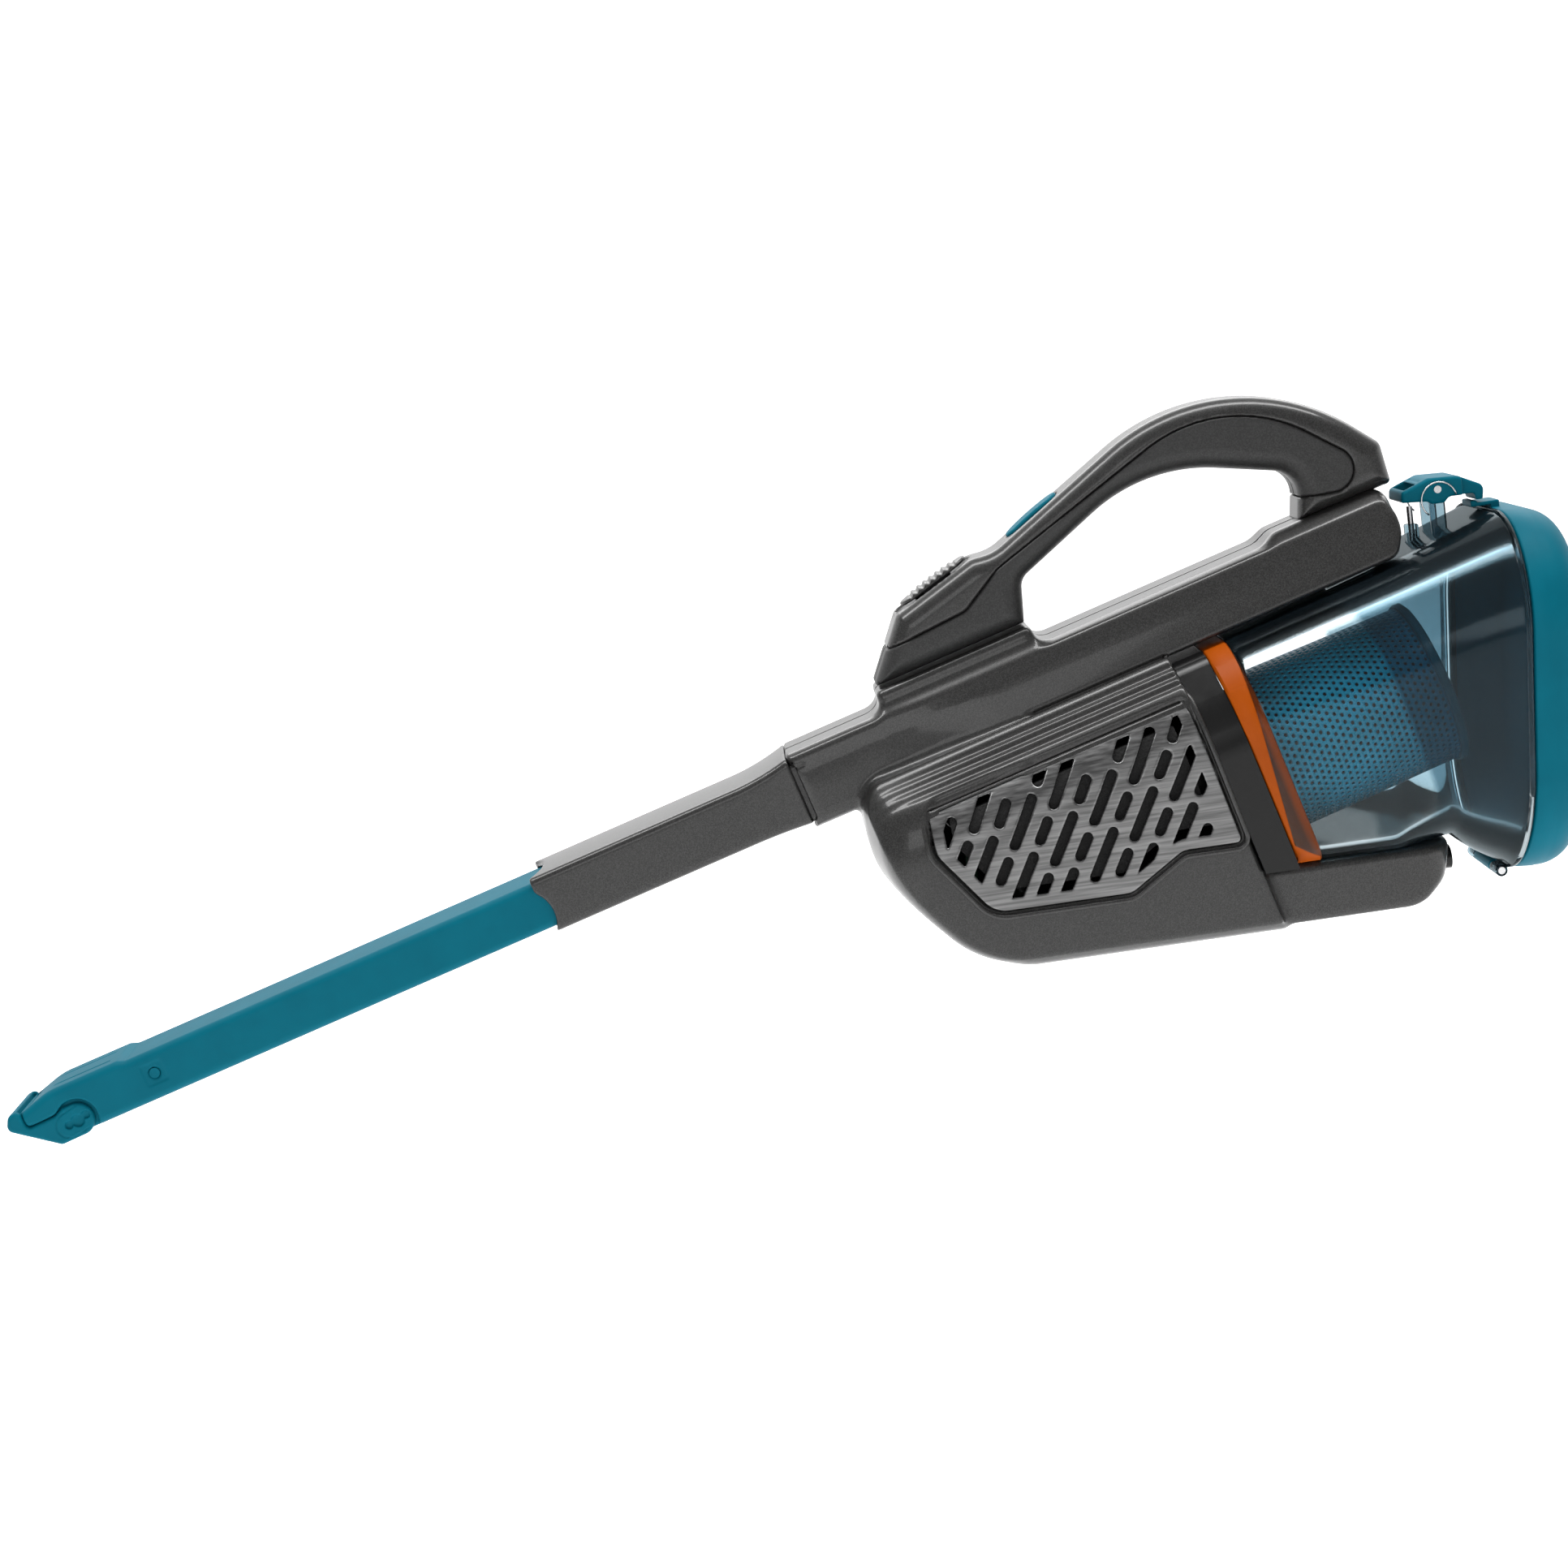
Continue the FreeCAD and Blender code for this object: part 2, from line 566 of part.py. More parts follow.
def pod_skin(name, outer, inner, outlines):
    """Both sides of a layer of the pod's skin between two depths, within outlines on its side."""
    layer = cut(name + "_layer", pod(name + "_outer", outer), pod(name + "_inner", inner))
    return common(name, layer, prism(name + "_outline", outlines, 130))


plate_inside = size("grille_thickness") - GRILLE_OUT
plates = pod_skin("plates", -GRILLE_OUT, plate_inside, [VENT] + grille_slots())
FOAM_DEPTH, FOAM_THICKNESS = 3.2, 3
foams = pod_skin("foams", FOAM_DEPTH, FOAM_DEPTH + FOAM_THICKNESS, [inset(VENT, 8)])
for side in SIDES:
    node(f"vent_grille_{side}", common(f"vent_grille_{side}", plates, half_space[side]))
    node(f"exhaust_foam_{side}", common(f"exhaust_foam_{side}", foams, half_space[side]))

# ---------------------------------------------------------------- motor and fan

can = rod("can_block", "sizes.motor_radius", "sizes.motor_length", (-88, 0, 0), "x", MOTOR)
can_room = rod("can_room", size("motor_radius") - 1.5, 60, (-86.5, 0, 0), "x", MOTOR)
node("motor_can", cut("motor_can", can, can_room))
mount_plate = section("mount_plate", [bar(43, -30, 43, 14)], 4, shifted(MOTOR, -64))
mount_hole = rod("mount_hole", size("motor_radius") + 0.1, 20, (-70, 0, 0), "x", MOTOR)
node("motor_mount", cut("motor_mount", mount_plate, mount_hole))
shroud = rod("shroud_block", 33, 22, (-36.5, 0, 0), "x", MOTOR)
shroud_room = rod("shroud_room", 31, 18.5, (-34.5, 0, 0), "x", MOTOR)
shroud_inlet = rod("shroud_inlet", 16, 30, (-30, 0, 0), "x", MOTOR)
shroud_neck = rod("shroud_neck", 12, 30, (-60, 0, 0), "x", MOTOR)
node("fan_shroud", cut("fan_shroud", shroud, shroud_room, shroud_inlet, shroud_neck))
SHAFT_RADIUS = 2.5
BLADES = 9
disc = rod("fan_disc", "sizes.fan_radius", 2, (-33, 0, 0), "x", MOTOR)
hub = rod("fan_hub", 7, 12, (-33, 0, 0), "x", MOTOR)
blades = []
for i in range(BLADES):
    turn = Placement(Vector(), Rotation(Vector(1, 0, 0), 360 * i / BLADES))
    blades.append(box(f"blade_{i}", (-32, 4, -0.8), (-22, 28, 0.8), MOTOR.multiply(turn)))
shaft_hole = rod("fan_shaft_hole", SHAFT_RADIUS, 30, (-45, 0, 0), "x", MOTOR)
node("impeller", cut("impeller", fuse("fan_wheel", disc, hub, *blades), shaft_hole))
node("motor_shaft", rod("motor_shaft", SHAFT_RADIUS, 62, (-83, 0, 0), "x", MOTOR))
rotor = rod("rotor_block", 18, 34, (-80, 0, 0), "x", MOTOR)
rotor_hole = rod("rotor_hole", SHAFT_RADIUS, 60, (-90, 0, 0), "x", MOTOR)
node("motor_rotor", cut("motor_rotor", rotor, rotor_hole))
board = box("board_plate", (-98, -28, 22), (-96.4, 28, 62))
CHIPS = [(-20, 28), (4, 34), (-12, 48)]
chips = [box(f"chip_{i}", (-96.6, y, z), (-93.5, y + 9, z + 7)) for i, (y, z) in enumerate(CHIPS)]
node("control_board", fuse("control_board", board, *chips))

# ---------------------------------------------------------------- filter stack

FRONT = mirrored([(56.8, -60, 0), (56.8, 30, 34), (33, 54.9, 14), (15, 54.9)])
above_base = box("above_base", (-50, -70, 24.9), (98.4, 70, 200))
above_ring_floor = box("above_ring_floor", (-50, -70, 25.9), (120, 70, 200))


def slice_of(name, outline, start, length, floor):
    """A slice of the bowl's front outline, flat where it stands on the base."""
    return common(name, section(name + "_slice", [outline], length, shifted(MOTOR, start)), floor)


collar_block = slice_of("collar_block", FRONT, -10.7, "sizes.collar_depth", above_base)
collar_room = slice_of("collar_room", inset(FRONT, 3), -8.2, 20, above_ring_floor)
socket = rod("collar_socket", 30.8, 12, (-9, 0, 0), "x", MOTOR)
collar_hole = rod("collar_hole", INTAKE_RADIUS, 40, (-20, 0, 0), "x", MOTOR)
socket_room = rod("socket_room", 29, 12, (-8.2, 0, 0), "x", MOTOR)
collar = fuse("collar", cut("collar_shell", collar_block, collar_room), socket)
node("filter_housing", cut("filter_housing", collar, collar_hole, socket_room))

ring_block = slice_of("ring_block", FRONT, 2.8, "sizes.ring_depth", above_base)
ring_room = slice_of("ring_room", inset(FRONT, 5), 0, 20, above_ring_floor)
node("bowl_seal", cut("bowl_seal", ring_block, ring_room))

screen_radius, screen_end = size("screen_radius"), size("screen_end_radius")
screen_length = size("screen_length")
SCREEN_START, SCREEN_WALL = 13, 1.4
screen_body = cone("screen_body", screen_radius, screen_end, screen_length, (SCREEN_START, 0, 0), MOTOR)
screen_room = cone(
    "screen_room", screen_radius - SCREEN_WALL, screen_end - SCREEN_WALL, screen_length + 0.2,
    (SCREEN_START - 0.1, 0, 0), MOTOR,
)
bind(screen_body, Radius1="sizes.screen_radius", Radius2="sizes.screen_end_radius")
neck = rod("screen_neck", 32.8, 13.2, (0, 0, 0), "x", MOTOR)
neck_room = rod("screen_neck_room", 31.2, 40, (-20, 0, 0), "x", MOTOR)
screen_flange = rod("screen_flange", 34, 1.4, (13, 0, 0), "x", MOTOR)
screen_wall = cut("screen_wall", screen_body, screen_room)
screen_outside = fuse("screen_outside", screen_wall, neck, screen_flange)
node("prefilter_screen", cut("prefilter_screen", screen_outside, neck_room))
PLEATS = 30
pleat_points = []
for i in range(2 * PLEATS):
    angle = math.pi * i / PLEATS
    radius = 30.5 if i % 2 else 24
    pleat_points.append((radius * math.cos(angle), radius * math.sin(angle)))
core = Part.Circle(Vector(), Vector(0, 0, 1), 18)
node("pleated_filter", section("pleated_filter", [pleat_points, [core]], 80, shifted(MOTOR, 4)))
end_disc = rod("end_disc", "sizes.screen_end_radius", 3, (85.2, 0, 0), "x", MOTOR)
node("filter_end_cap", fuse("filter_end_cap", end_disc, rod("end_boss", 9, 6, (85.2, 0, 0), "x", MOTOR)))

# ---------------------------------------------------------------- dust bowl

half_rim_width, half_rim_height = size("rim_width") / 2, size("rim_height") / 2
BOWL_FRONT = mirrored([(56.8, -42, 12), (56.8, 54.9, 36)])
BOWL_RIM = mirrored([(half_rim_width, -half_rim_height, 46), (half_rim_width, half_rim_height, 46)])


def loose_sketch(name, outline, placement):
    sketch = doc.addObject("Sketcher::SketchObject", name)
    sketch.addGeometry(rounded_loop(outline), False)
    sketch.Placement = placement
    return sketch


ACROSS = Placement(Vector(), Rotation(Vector(1, 1, 1), 120))


def bowl_solid(name, depth, start, end):
    """The bowl's outside, or its room when moved in by a depth."""
    front_place = shifted(MOTOR, start).multiply(ACROSS)
    rim_place = shifted(RIM, end).multiply(ACROSS)
    front = loose_sketch(name + "_front", inset(BOWL_FRONT, depth), front_place)
    rim = loose_sketch(name + "_rim", inset(BOWL_RIM, depth), rim_place)
    loft = doc.addObject("Part::Loft", name)
    loft.Sections = [front, rim]
    loft.Solid = True
    loft.Ruled = True
    return loft


bowl_wall = size("bowl_wall")
UNDER_BOWL = [(-100, -50), (118, -50), (118, 9), (98.4, 18.5), (98.4, 24.9), (-100, 24.9)]
under_base = prism("under_base", [UNDER_BOWL], 200)
under_floor = prism("under_floor", [inset(UNDER_BOWL, -bowl_wall)], 200)
PIN = (111.5, 161.6)
pin_radius = size("pin_radius")
ears = []
for side, sign in SIDES.items():
    low, high = sorted((sign * 6, sign * 8.8))
    ears.append(box(f"ear_{side}", (108.9, low, 142), (114.1, high, PIN[1])))
    ears.append(rod(f"ear_eye_{side}", 2.6, high - low, (PIN[0], low, PIN[1])))
stop_boss = box("stop_boss", (99.5, -3, 136), (104.5, 3, 148))
flap_lugs = []
for side, sign in SIDES.items():
    low, high = sorted((sign * 16.9, sign * 18.9))
    flap_lugs.append(box(f"flap_lug_{side}", (55.5, low, 49.5), (59.5, high, 56), MOTOR))
HINGE = (-2.2, -74.8)
KNUCKLE = 2.5
bowl_knuckles = []
for side, sign in SIDES.items():
    low, high = sorted((sign * 12, sign * 22))
    bowl_knuckles.append(rod(f"bowl_knuckle_{side}", KNUCKLE, 10, (HINGE[0], low, HINGE[1]), "y", RIM))
bowl_above_base = cut("bowl_above_base", bowl_solid("bowl_block", 0, 13, -0.2), under_base)
bowl_outside = fuse("bowl_outside", bowl_above_base, *ears, stop_boss, *bowl_knuckles)
bowl_room = cut("bowl_room", bowl_solid("bowl_hollow", bowl_wall, 12.6, 0.4), under_floor)
knuckle_notch = rod("knuckle_notch", KNUCKLE + 0.4, 23.6, (HINGE[0], -11.8, HINGE[1]), "y", RIM)
bowl_inlet = box("bowl_inlet", (61.5, -14, 45), (80, 14, 70), MOTOR)
bowl_shell = fuse("bowl_shell", cut("bowl_hollowed", bowl_outside, bowl_room), *flap_lugs)
pin_holes = [
    rod("latch_pin_hole", pin_radius + RUN, 60, (PIN[0], -30, PIN[1])),
    rod("hinge_pin_hole", pin_radius + 0.02, 60, (HINGE[0], -30, HINGE[1]), "y", RIM),
    rod("flap_pin_hole", 1 + 0.02, 60, (57.5, -30, 51.4), "y", MOTOR),
    rod("stop_pin_hole", 1.2, 12, (102, 0, 141), "z"),
]
node("dust_bowl", cut("dust_bowl", bowl_shell, bowl_inlet, knuckle_notch, *pin_holes))
node("latch_stop_pin", rod("latch_stop_pin", 1.18, 14, (102, 0, 141.2), "z"))
node("flap_pin", rod("flap_pin", 1, 37.6, (57.5, -18.8, 51.4), "y", MOTOR))
flap_plate = box("flap_plate", (58, -16.4, 50.8), (83, 16.4, 52), MOTOR)
flap_sleeve = rod("flap_sleeve", 2, 32.8, (57.5, -16.4, 51.4), "y", MOTOR)
flap_hole = rod("flap_hole", 1 + RUN, 60, (57.5, -30, 51.4), "y", MOTOR)
node("flap_valve", cut("flap_valve", fuse("flap", flap_plate, flap_sleeve), flap_hole))

# ---------------------------------------------------------------- door and its latch

door_depth = size("door_depth")
door_wall = size("door_wall")
DOOR_START = 0.6


def dome(name, depth, start, length, round_radius):
    """A dished block behind the rim, its far edge rounded."""
    body = prism(name, [inset(BOWL_RIM, depth)], length, "YZ_Plane", shifted(RIM, start), False)
    doc.recompute()
    pad = body.Tip
    solid = pad.Shape
    far = max(solid.Faces, key=lambda face: face.CenterOfMass.x)
    edges = []
    for i, edge in enumerate(solid.Edges, 1):
        if any(edge.isSame(other) for other in far.Edges):
            edges.append(f"Edge{i}")
    fillet = body.newObject("PartDesign::Fillet", name + "_fillet")
    fillet.Base = (pad, edges)
    fillet.Radius = round_radius
    body.Tip = fillet
    return body


door_outside = dome("door_block", 0, DOOR_START, "sizes.door_depth", 17)
door_room = dome("door_room", door_wall, DOOR_START - 1, door_depth - door_wall + 1, 14.5)
tongue = box("door_tongue", (125.5, -7, 152), (134.5, 7, 153.6))
tooth = box("door_tooth", (125.5, -7, 153), (128, 7, 154.4))
tongue_root = box("door_tongue_root", (133.4, -7, 149), (137, 7, 153.6))
door_knuckle = rod("door_knuckle", KNUCKLE, 23, (HINGE[0], -11.5, HINGE[1]), "y", RIM)
knuckle_web = box("knuckle_web", (-2.2, -11.5, -75.6), (4, 11.5, -73.4), RIM)
knuckle_foot = box("knuckle_foot", (0.6, -11.5, -74), (4, 11.5, -71.5), RIM)
knuckle_hole = rod("knuckle_hole", pin_radius + RUN, 60, (HINGE[0], -30, HINGE[1]), "y", RIM)
door_shell = cut("door_shell", door_outside, door_room)
door_with_hinge = fuse(
    "door_with_hinge", door_shell, tongue_root, tongue, tooth, door_knuckle, knuckle_web, knuckle_foot
)
node("bowl_door", cut("bowl_door", door_with_hinge, knuckle_hole))
node("door_hinge_pin", rod("door_hinge_pin", "sizes.pin_radius", 43.6, (HINGE[0], -21.8, HINGE[1]), "y", RIM))
seal_outer, seal_inner = inset(BOWL_RIM, door_wall + 0.1), inset(BOWL_RIM, door_wall + 3)
node("door_seal", section("door_seal", [seal_outer, seal_inner], 2, shifted(RIM, 0.7)))

LATCH_SIDE = [
    (96.5, 158, 1), (107, 157.2, 3), (109, 155.8, 2), (114, 155.8, 2), (116, 158, 3), (127, 157.8, 1),
    (127.6, 154.9, 0.5), (130.4, 154.9, 1), (131, 160.5, 3), (120, 166, 6), (108, 166.6, 4),
    (97, 162.4, 2),
]
latch_block = prism("latch_block", [LATCH_SIDE], 23)
latch_room = box("latch_room", (98.5, -9.3, 150), (121, 9.3, 164.6))
latch_holes = rod("latch_holes", pin_radius, 60, (PIN[0], -30, PIN[1]))
latch_neck = []
for side, sign in SIDES.items():
    low, high = sorted((sign * 8, sign * 30))
    latch_neck.append(box(f"latch_neck_{side}", (121.5, low, 150), (140, high, 170)))
node("door_latch", cut("door_latch", latch_block, latch_room, latch_holes, *latch_neck))
node("latch_pin", rod("latch_pin", "sizes.pin_radius", 23, (PIN[0], -11.5, PIN[1])))
coil_place = Placement(Vector(PIN[0], -4.4, PIN[1]), AXES["y"])
node("latch_spring", spring("latch_spring", 2.2, 0.35, 1.1, 8.8, coil_place))

head = rod("button_head", 5, 12, (92, 0, 8), "x")
button_stem = rod("button_stem", 2, 8, (84.2, 0, 8), "x")
node("bowl_release_button", fuse("bowl_release_button", head, button_stem))
release_place = Placement(Vector(82.4, 0, 8), AXES["x"])
node("release_spring", spring("release_spring", 2.8, 0.4, 2.0, 6.0, release_place))

# ---------------------------------------------------------------- check and write

doc.recompute()
for thing in doc.Objects:
    if "Invalid" in thing.State or "Error" in thing.State:
        raise RuntimeError(f"{thing.Name} failed: {thing.State}")
os.makedirs("parts", exist_ok=True)
for name, made in nodes.items():
    shape = made.Shape
    if shape.isNull() or not shape.isValid() or shape.Volume <= 0:
        raise RuntimeError(f"{name} has no valid solid")
    shape.exportStep(f"parts/{name}.step")
    bounds = shape.BoundBox
    print(
        f"{name:22s} {len(shape.Solids):3d} solids {shape.Volume:10.0f} mm3 "
        f"x {bounds.XMin:7.1f} {bounds.XMax:7.1f} y {bounds.YMin:6.1f} {bounds.YMax:6.1f} "
        f"z {bounds.ZMin:6.1f} {bounds.ZMax:6.1f}"
    )
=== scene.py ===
import math

import bmesh
import bpy
import numpy as np
from mathutils import Matrix, Vector


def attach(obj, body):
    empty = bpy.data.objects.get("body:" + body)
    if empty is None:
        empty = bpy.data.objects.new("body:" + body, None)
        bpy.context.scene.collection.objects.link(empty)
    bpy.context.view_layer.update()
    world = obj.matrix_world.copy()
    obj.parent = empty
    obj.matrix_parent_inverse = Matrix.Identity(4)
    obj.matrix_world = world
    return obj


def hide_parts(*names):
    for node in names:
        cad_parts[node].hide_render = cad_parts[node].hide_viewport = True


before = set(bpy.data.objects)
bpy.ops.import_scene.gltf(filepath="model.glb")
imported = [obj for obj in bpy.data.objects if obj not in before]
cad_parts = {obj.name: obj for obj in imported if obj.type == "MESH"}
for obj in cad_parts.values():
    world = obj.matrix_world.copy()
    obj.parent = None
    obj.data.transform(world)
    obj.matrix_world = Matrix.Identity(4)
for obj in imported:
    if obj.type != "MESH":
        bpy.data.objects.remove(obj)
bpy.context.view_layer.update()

# A cordless handheld vacuum. Outlines are in millimetres, as in the CAD model; meshes are in metres.
# Smooth shells are distance functions turned into meshes; thin and repeated pieces are built directly.
# A distance function is negative inside its shape. x runs to the rear, y to the right, z upwards.

MM = 0.001
SLOPE = math.radians(15.6)


class Frame:
    """A place turned about the y axis: x along a direction that rises by an angle."""

    def __init__(self, x, z, rise):
        self.x, self.z = x, z
        self.c, self.s = math.cos(rise), math.sin(rise)

    def local(self, x, z):
        """A world place in this frame's own x and z."""
        dx, dz = x - self.x, z - self.z
        return dx * self.c + dz * self.s, dz * self.c - dx * self.s

    def world(self, x, z):
        return self.x + x * self.c - z * self.s, self.z + x * self.s + z * self.c

    def point(self, x, y, z):
        wx, wz = self.world(x, z)
        return Vector((wx, y, wz))


WORLD = Frame(0, 0, 0)
DUCT = Frame(-160, 76.5, SLOPE)  # the nozzle's root, on the tool's axis
MOTOR = Frame(19, 59, SLOPE)  # on the axis of the motor and the filter
RIM = Frame(127.3, 78.3, -math.radians(4.24))  # where the door closes on the bowl
SWITCH = Frame(-94.2, 151.97, math.radians(29.3))
BOOST = Frame(-51.6, 173.9, math.radians(33.5))


# ---------------------------------------------------------------- distance functions


class Outline:
    """Signed distance to a closed outline of lines and tangent arcs, from (x, z, radius) points."""

    SHARP = 0.05  # the radius of a corner that is given none

    def __init__(self, points):
        self.lines, self.arcs = [], []
        area = sum(
            points[i - 1][0] * p[1] - p[0] * points[i - 1][1] for i, p in enumerate(points)
        )
        if area < 0:
            points = points[::-1]
        ends = []
        for i, point in enumerate(points):
            here = np.array(point[:2], float)
            radius = max(point[2] if len(point) > 2 else 0, self.SHARP)
            before = np.array(points[i - 1][:2], float) - here
            after = np.array(points[(i + 1) % len(points)][:2], float) - here
            before /= np.linalg.norm(before)
            after /= np.linalg.norm(after)
            half = math.acos(max(-1, min(1, before @ after))) / 2
            if half > math.pi / 2 - 0.004:
                ends.append((here, here))
                continue
            reach = radius / math.tan(half)
            centre = here + (before + after) / np.linalg.norm(before + after) * radius / math.sin(half)
            start, end = here + before * reach, here + after * reach
            turn = before[0] * after[1] - before[1] * after[0] < 0
            self.arcs.append((centre, radius, (start - centre) / radius, (end - centre) / radius, turn))
            ends.append((start, end))
        for i in range(len(ends)):
            start, end = ends[i - 1][1], ends[i][0]
            length = np.linalg.norm(end - start)
            if length > 1e-6:
                self.lines.append((start, (end - start) / length, length))
        self.ends = ends

    def __call__(self, x, z):
        best = None
        for start, along, length in self.lines:
            dx, dz = x - start[0], z - start[1]
            t = np.clip(dx * along[0] + dz * along[1], 0, length)
            gap = np.hypot(dx - t * along[0], dz - t * along[1])
            signed = np.where(dx * along[1] - dz * along[0] > 0, gap, -gap)
            best = signed if best is None else np.where(gap < np.abs(best), signed, best)
        for centre, radius, first, last, convex in self.arcs:
            dx, dz = x - centre[0], z - centre[1]
            sign = 1 if convex else -1
            after_first = sign * (first[0] * dz - first[1] * dx) >= 0
            within = after_first & (sign * (dx * last[1] - dz * last[0]) >= 0)
            signed = sign * (np.hypot(dx, dz) - radius)
            best = np.where(within & (np.abs(signed) <= np.abs(best)), signed, best)
        return best

    def points(self, step=4.0):
        """The outline as a list of points, arcs divided finely."""
        made = []
        arcs = iter(self.arcs)
        for start, end in self.ends:
            if np.allclose(start, end):
                made.append(tuple(start))
                continue
            centre, radius, first, last, convex = next(arcs)
            a = math.atan2(first[1], first[0])
            b = math.atan2(last[1], last[0])
            sweep = (b - a + math.pi) % (2 * math.pi) - math.pi
            count = max(2, int(abs(math.degrees(sweep)) / step))
            for k in range(count + 1):
                angle = a + sweep * k / count
                made.append((centre[0] + radius * math.cos(angle), centre[1] + radius * math.sin(angle)))
        return made


def both(a, b, radius):
    """What lies in a and in b, their common edge rounded."""
    past = np.hypot(np.maximum(a + radius, 0), np.maximum(b + radius, 0))
    return past + np.minimum(np.maximum(a, b), -radius)


def either(a, b, radius):
    """What lies in a or in b, the inner corner between them filleted."""
    return -both(-a, -b, radius)


def without(a, b, radius):
    """What lies in a but not in b."""
    return both(a, -b, radius)


def slab(value, low, high):
    """Signed distance to what lies between two values."""
    return np.abs(value - (low + high) / 2) - (high - low) / 2


def bar(y, z, half_width, low, high, radius):
    """Signed distance to a rounded rectangle across y and z."""
    dy = np.abs(y) - half_width + radius
    dz = np.abs(z - (low + high) / 2) - (high - low) / 2 + radius
    return np.hypot(np.maximum(dy, 0), np.maximum(dz, 0)) + np.minimum(np.maximum(dy, dz), 0) - radius


def disc(x, z, cx, cz, radius):
    return np.hypot(x - cx, z - cz) - radius


def stadium(x, y, half_length, radius):
    return np.hypot(np.maximum(np.abs(x) - half_length, 0), y) - radius


# How vertices are moved onto the surface: rounds, half the width of a slope's sample and the longest
# move, both in grid steps, and the least squared slope.
SETTLE_ROUNDS, SAMPLE_STEP, LONGEST_MOVE, FLATTEST = 4, 0.05, 0.5, 0.2


def surface_net(shape, low, high, step):
    """Vertices and quads of the surface where shape(x, y, z) is 0, vertices moved onto it."""
    axes = [np.arange(low[i] - step, high[i] + 2 * step, step) for i in range(3)]
    x, y, z = axes[0][:, None, None], axes[1][None, :, None], axes[2][None, None, :]
    values = np.broadcast_to(shape(x, y, z), tuple(len(a) for a in axes))
    inside = values < 0
    nx, ny, nz = (n - 1 for n in values.shape)
    total = np.zeros((nx, ny, nz, 3), np.float32)
    count = np.zeros((nx, ny, nz), np.float32)
    for axis in range(3):
        first = [slice(None)] * 3
        second = [slice(None)] * 3
        first[axis], second[axis] = slice(0, -1), slice(1, None)
        a, b = values[tuple(first)], values[tuple(second)]
        crosses = (a < 0) != (b < 0)
        t = np.where(crosses, a / np.where(crosses, a - b, 1), 0).astype(np.float32)
        others = [i for i in range(3) if i != axis]
        for u in (0, 1):
            for v in (0, 1):
                pick = [slice(None)] * 3
                pick[others[0]] = slice(u, u + (nx, ny, nz)[others[0]])
                pick[others[1]] = slice(v, v + (nx, ny, nz)[others[1]])
                hit = crosses[tuple(pick)]
                total[..., axis] += np.where(hit, t[tuple(pick)], 0)
                total[..., others[0]] += np.where(hit, u, 0)
                total[..., others[1]] += np.where(hit, v, 0)
                count += hit
    active = count > 0
    index = np.full(active.shape, -1, np.int64)
    cells = np.argwhere(active)
    index[active] = np.arange(len(cells))
    start = np.array([axes[i][0] for i in range(3)])
    verts = start + (cells + total[active] / count[active][:, None]) * step
    quads = []
    for axis in range(3):
        u, v = [(1, 2), (2, 0), (0, 1)][axis]
        first = [slice(1, -1)] * 3
        first[axis] = slice(0, -1)
        second = [slice(1, -1)] * 3
        second[axis] = slice(1, None)
        a, b = inside[tuple(first)], inside[tuple(second)]
        for flip, where in ((False, a & ~b), (True, ~a & b)):
            spots = np.argwhere(where)
            offset = np.array([1, 1, 1])
            offset[axis] = 0
            spots = spots + offset
            step_u, step_v = np.zeros(3, int), np.zeros(3, int)
            step_u[u], step_v[v] = 1, 1
            ring = [spots - step_u - step_v, spots - step_v, spots, spots - step_u]
            quad = np.stack([index[tuple(r.T)] for r in ring], 1)
            quads.append(quad[:, ::-1] if flip else quad)
    quads = np.concatenate(quads)
    nudge = step * SAMPLE_STEP
    nudges = [axis[:, None] * nudge for axis in np.eye(3)]
    for _ in range(SETTLE_ROUNDS):
        p = verts.T
        value = shape(*p)
        slope = np.stack([(shape(*(p + n)) - shape(*(p - n))) / (2 * nudge) for n in nudges], 1)
        size = np.maximum((slope**2).sum(1), FLATTEST)
        move = np.clip(value / size, -LONGEST_MOVE * step, LONGEST_MOVE * step)
        verts = verts - move[:, None] * slope
    return verts, quads


# ---------------------------------------------------------------- meshes and pieces

SIDES = {"left": -1, "right": 1}


def new_object(name, data):
    made = bpy.data.objects.new(name, data)
    bpy.context.scene.collection.objects.link(made)
    return made


def piece(name, mesh, body, material, replaces=()):
    """A finished object: what it rides on, its material and the nodes it stands for."""
    made = new_object(name, mesh)
    mesh.materials.append(material)
    mesh.shade_smooth()
    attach(made, body)
    if replaces:
        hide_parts(*replaces)
    return made


def mesh_from(name, verts, faces, scale=MM):
    mesh = bpy.data.meshes.new(name)
    mesh.from_pydata([tuple(v) for v in np.asarray(verts, float) * scale], [], [tuple(f) for f in faces])
    mesh.validate()
    mesh.update()
    return mesh


def net_mesh(name, shape, place, low, high, step, flip_y=False):
    """A shell from its distance function, drawn in a place's own axes."""
    grid_step = step
    verts, quads = surface_net(shape, low, high, grid_step)
    wx, wz = place.world(verts[:, 0], verts[:, 2])
    y = -verts[:, 1] if flip_y else verts[:, 1]
    if flip_y:
        quads = quads[:, ::-1]
    return mesh_from(name, np.stack([wx, y, wz], 1), quads)


def net_piece(name, shape, place, low, high, step, body, finish, replaces=(), flip_y=False):
    """A piece made of the net of a distance function between two corners."""
    piece(name, net_mesh(name, shape, place, low, high, step, flip_y), body, finish, replaces)


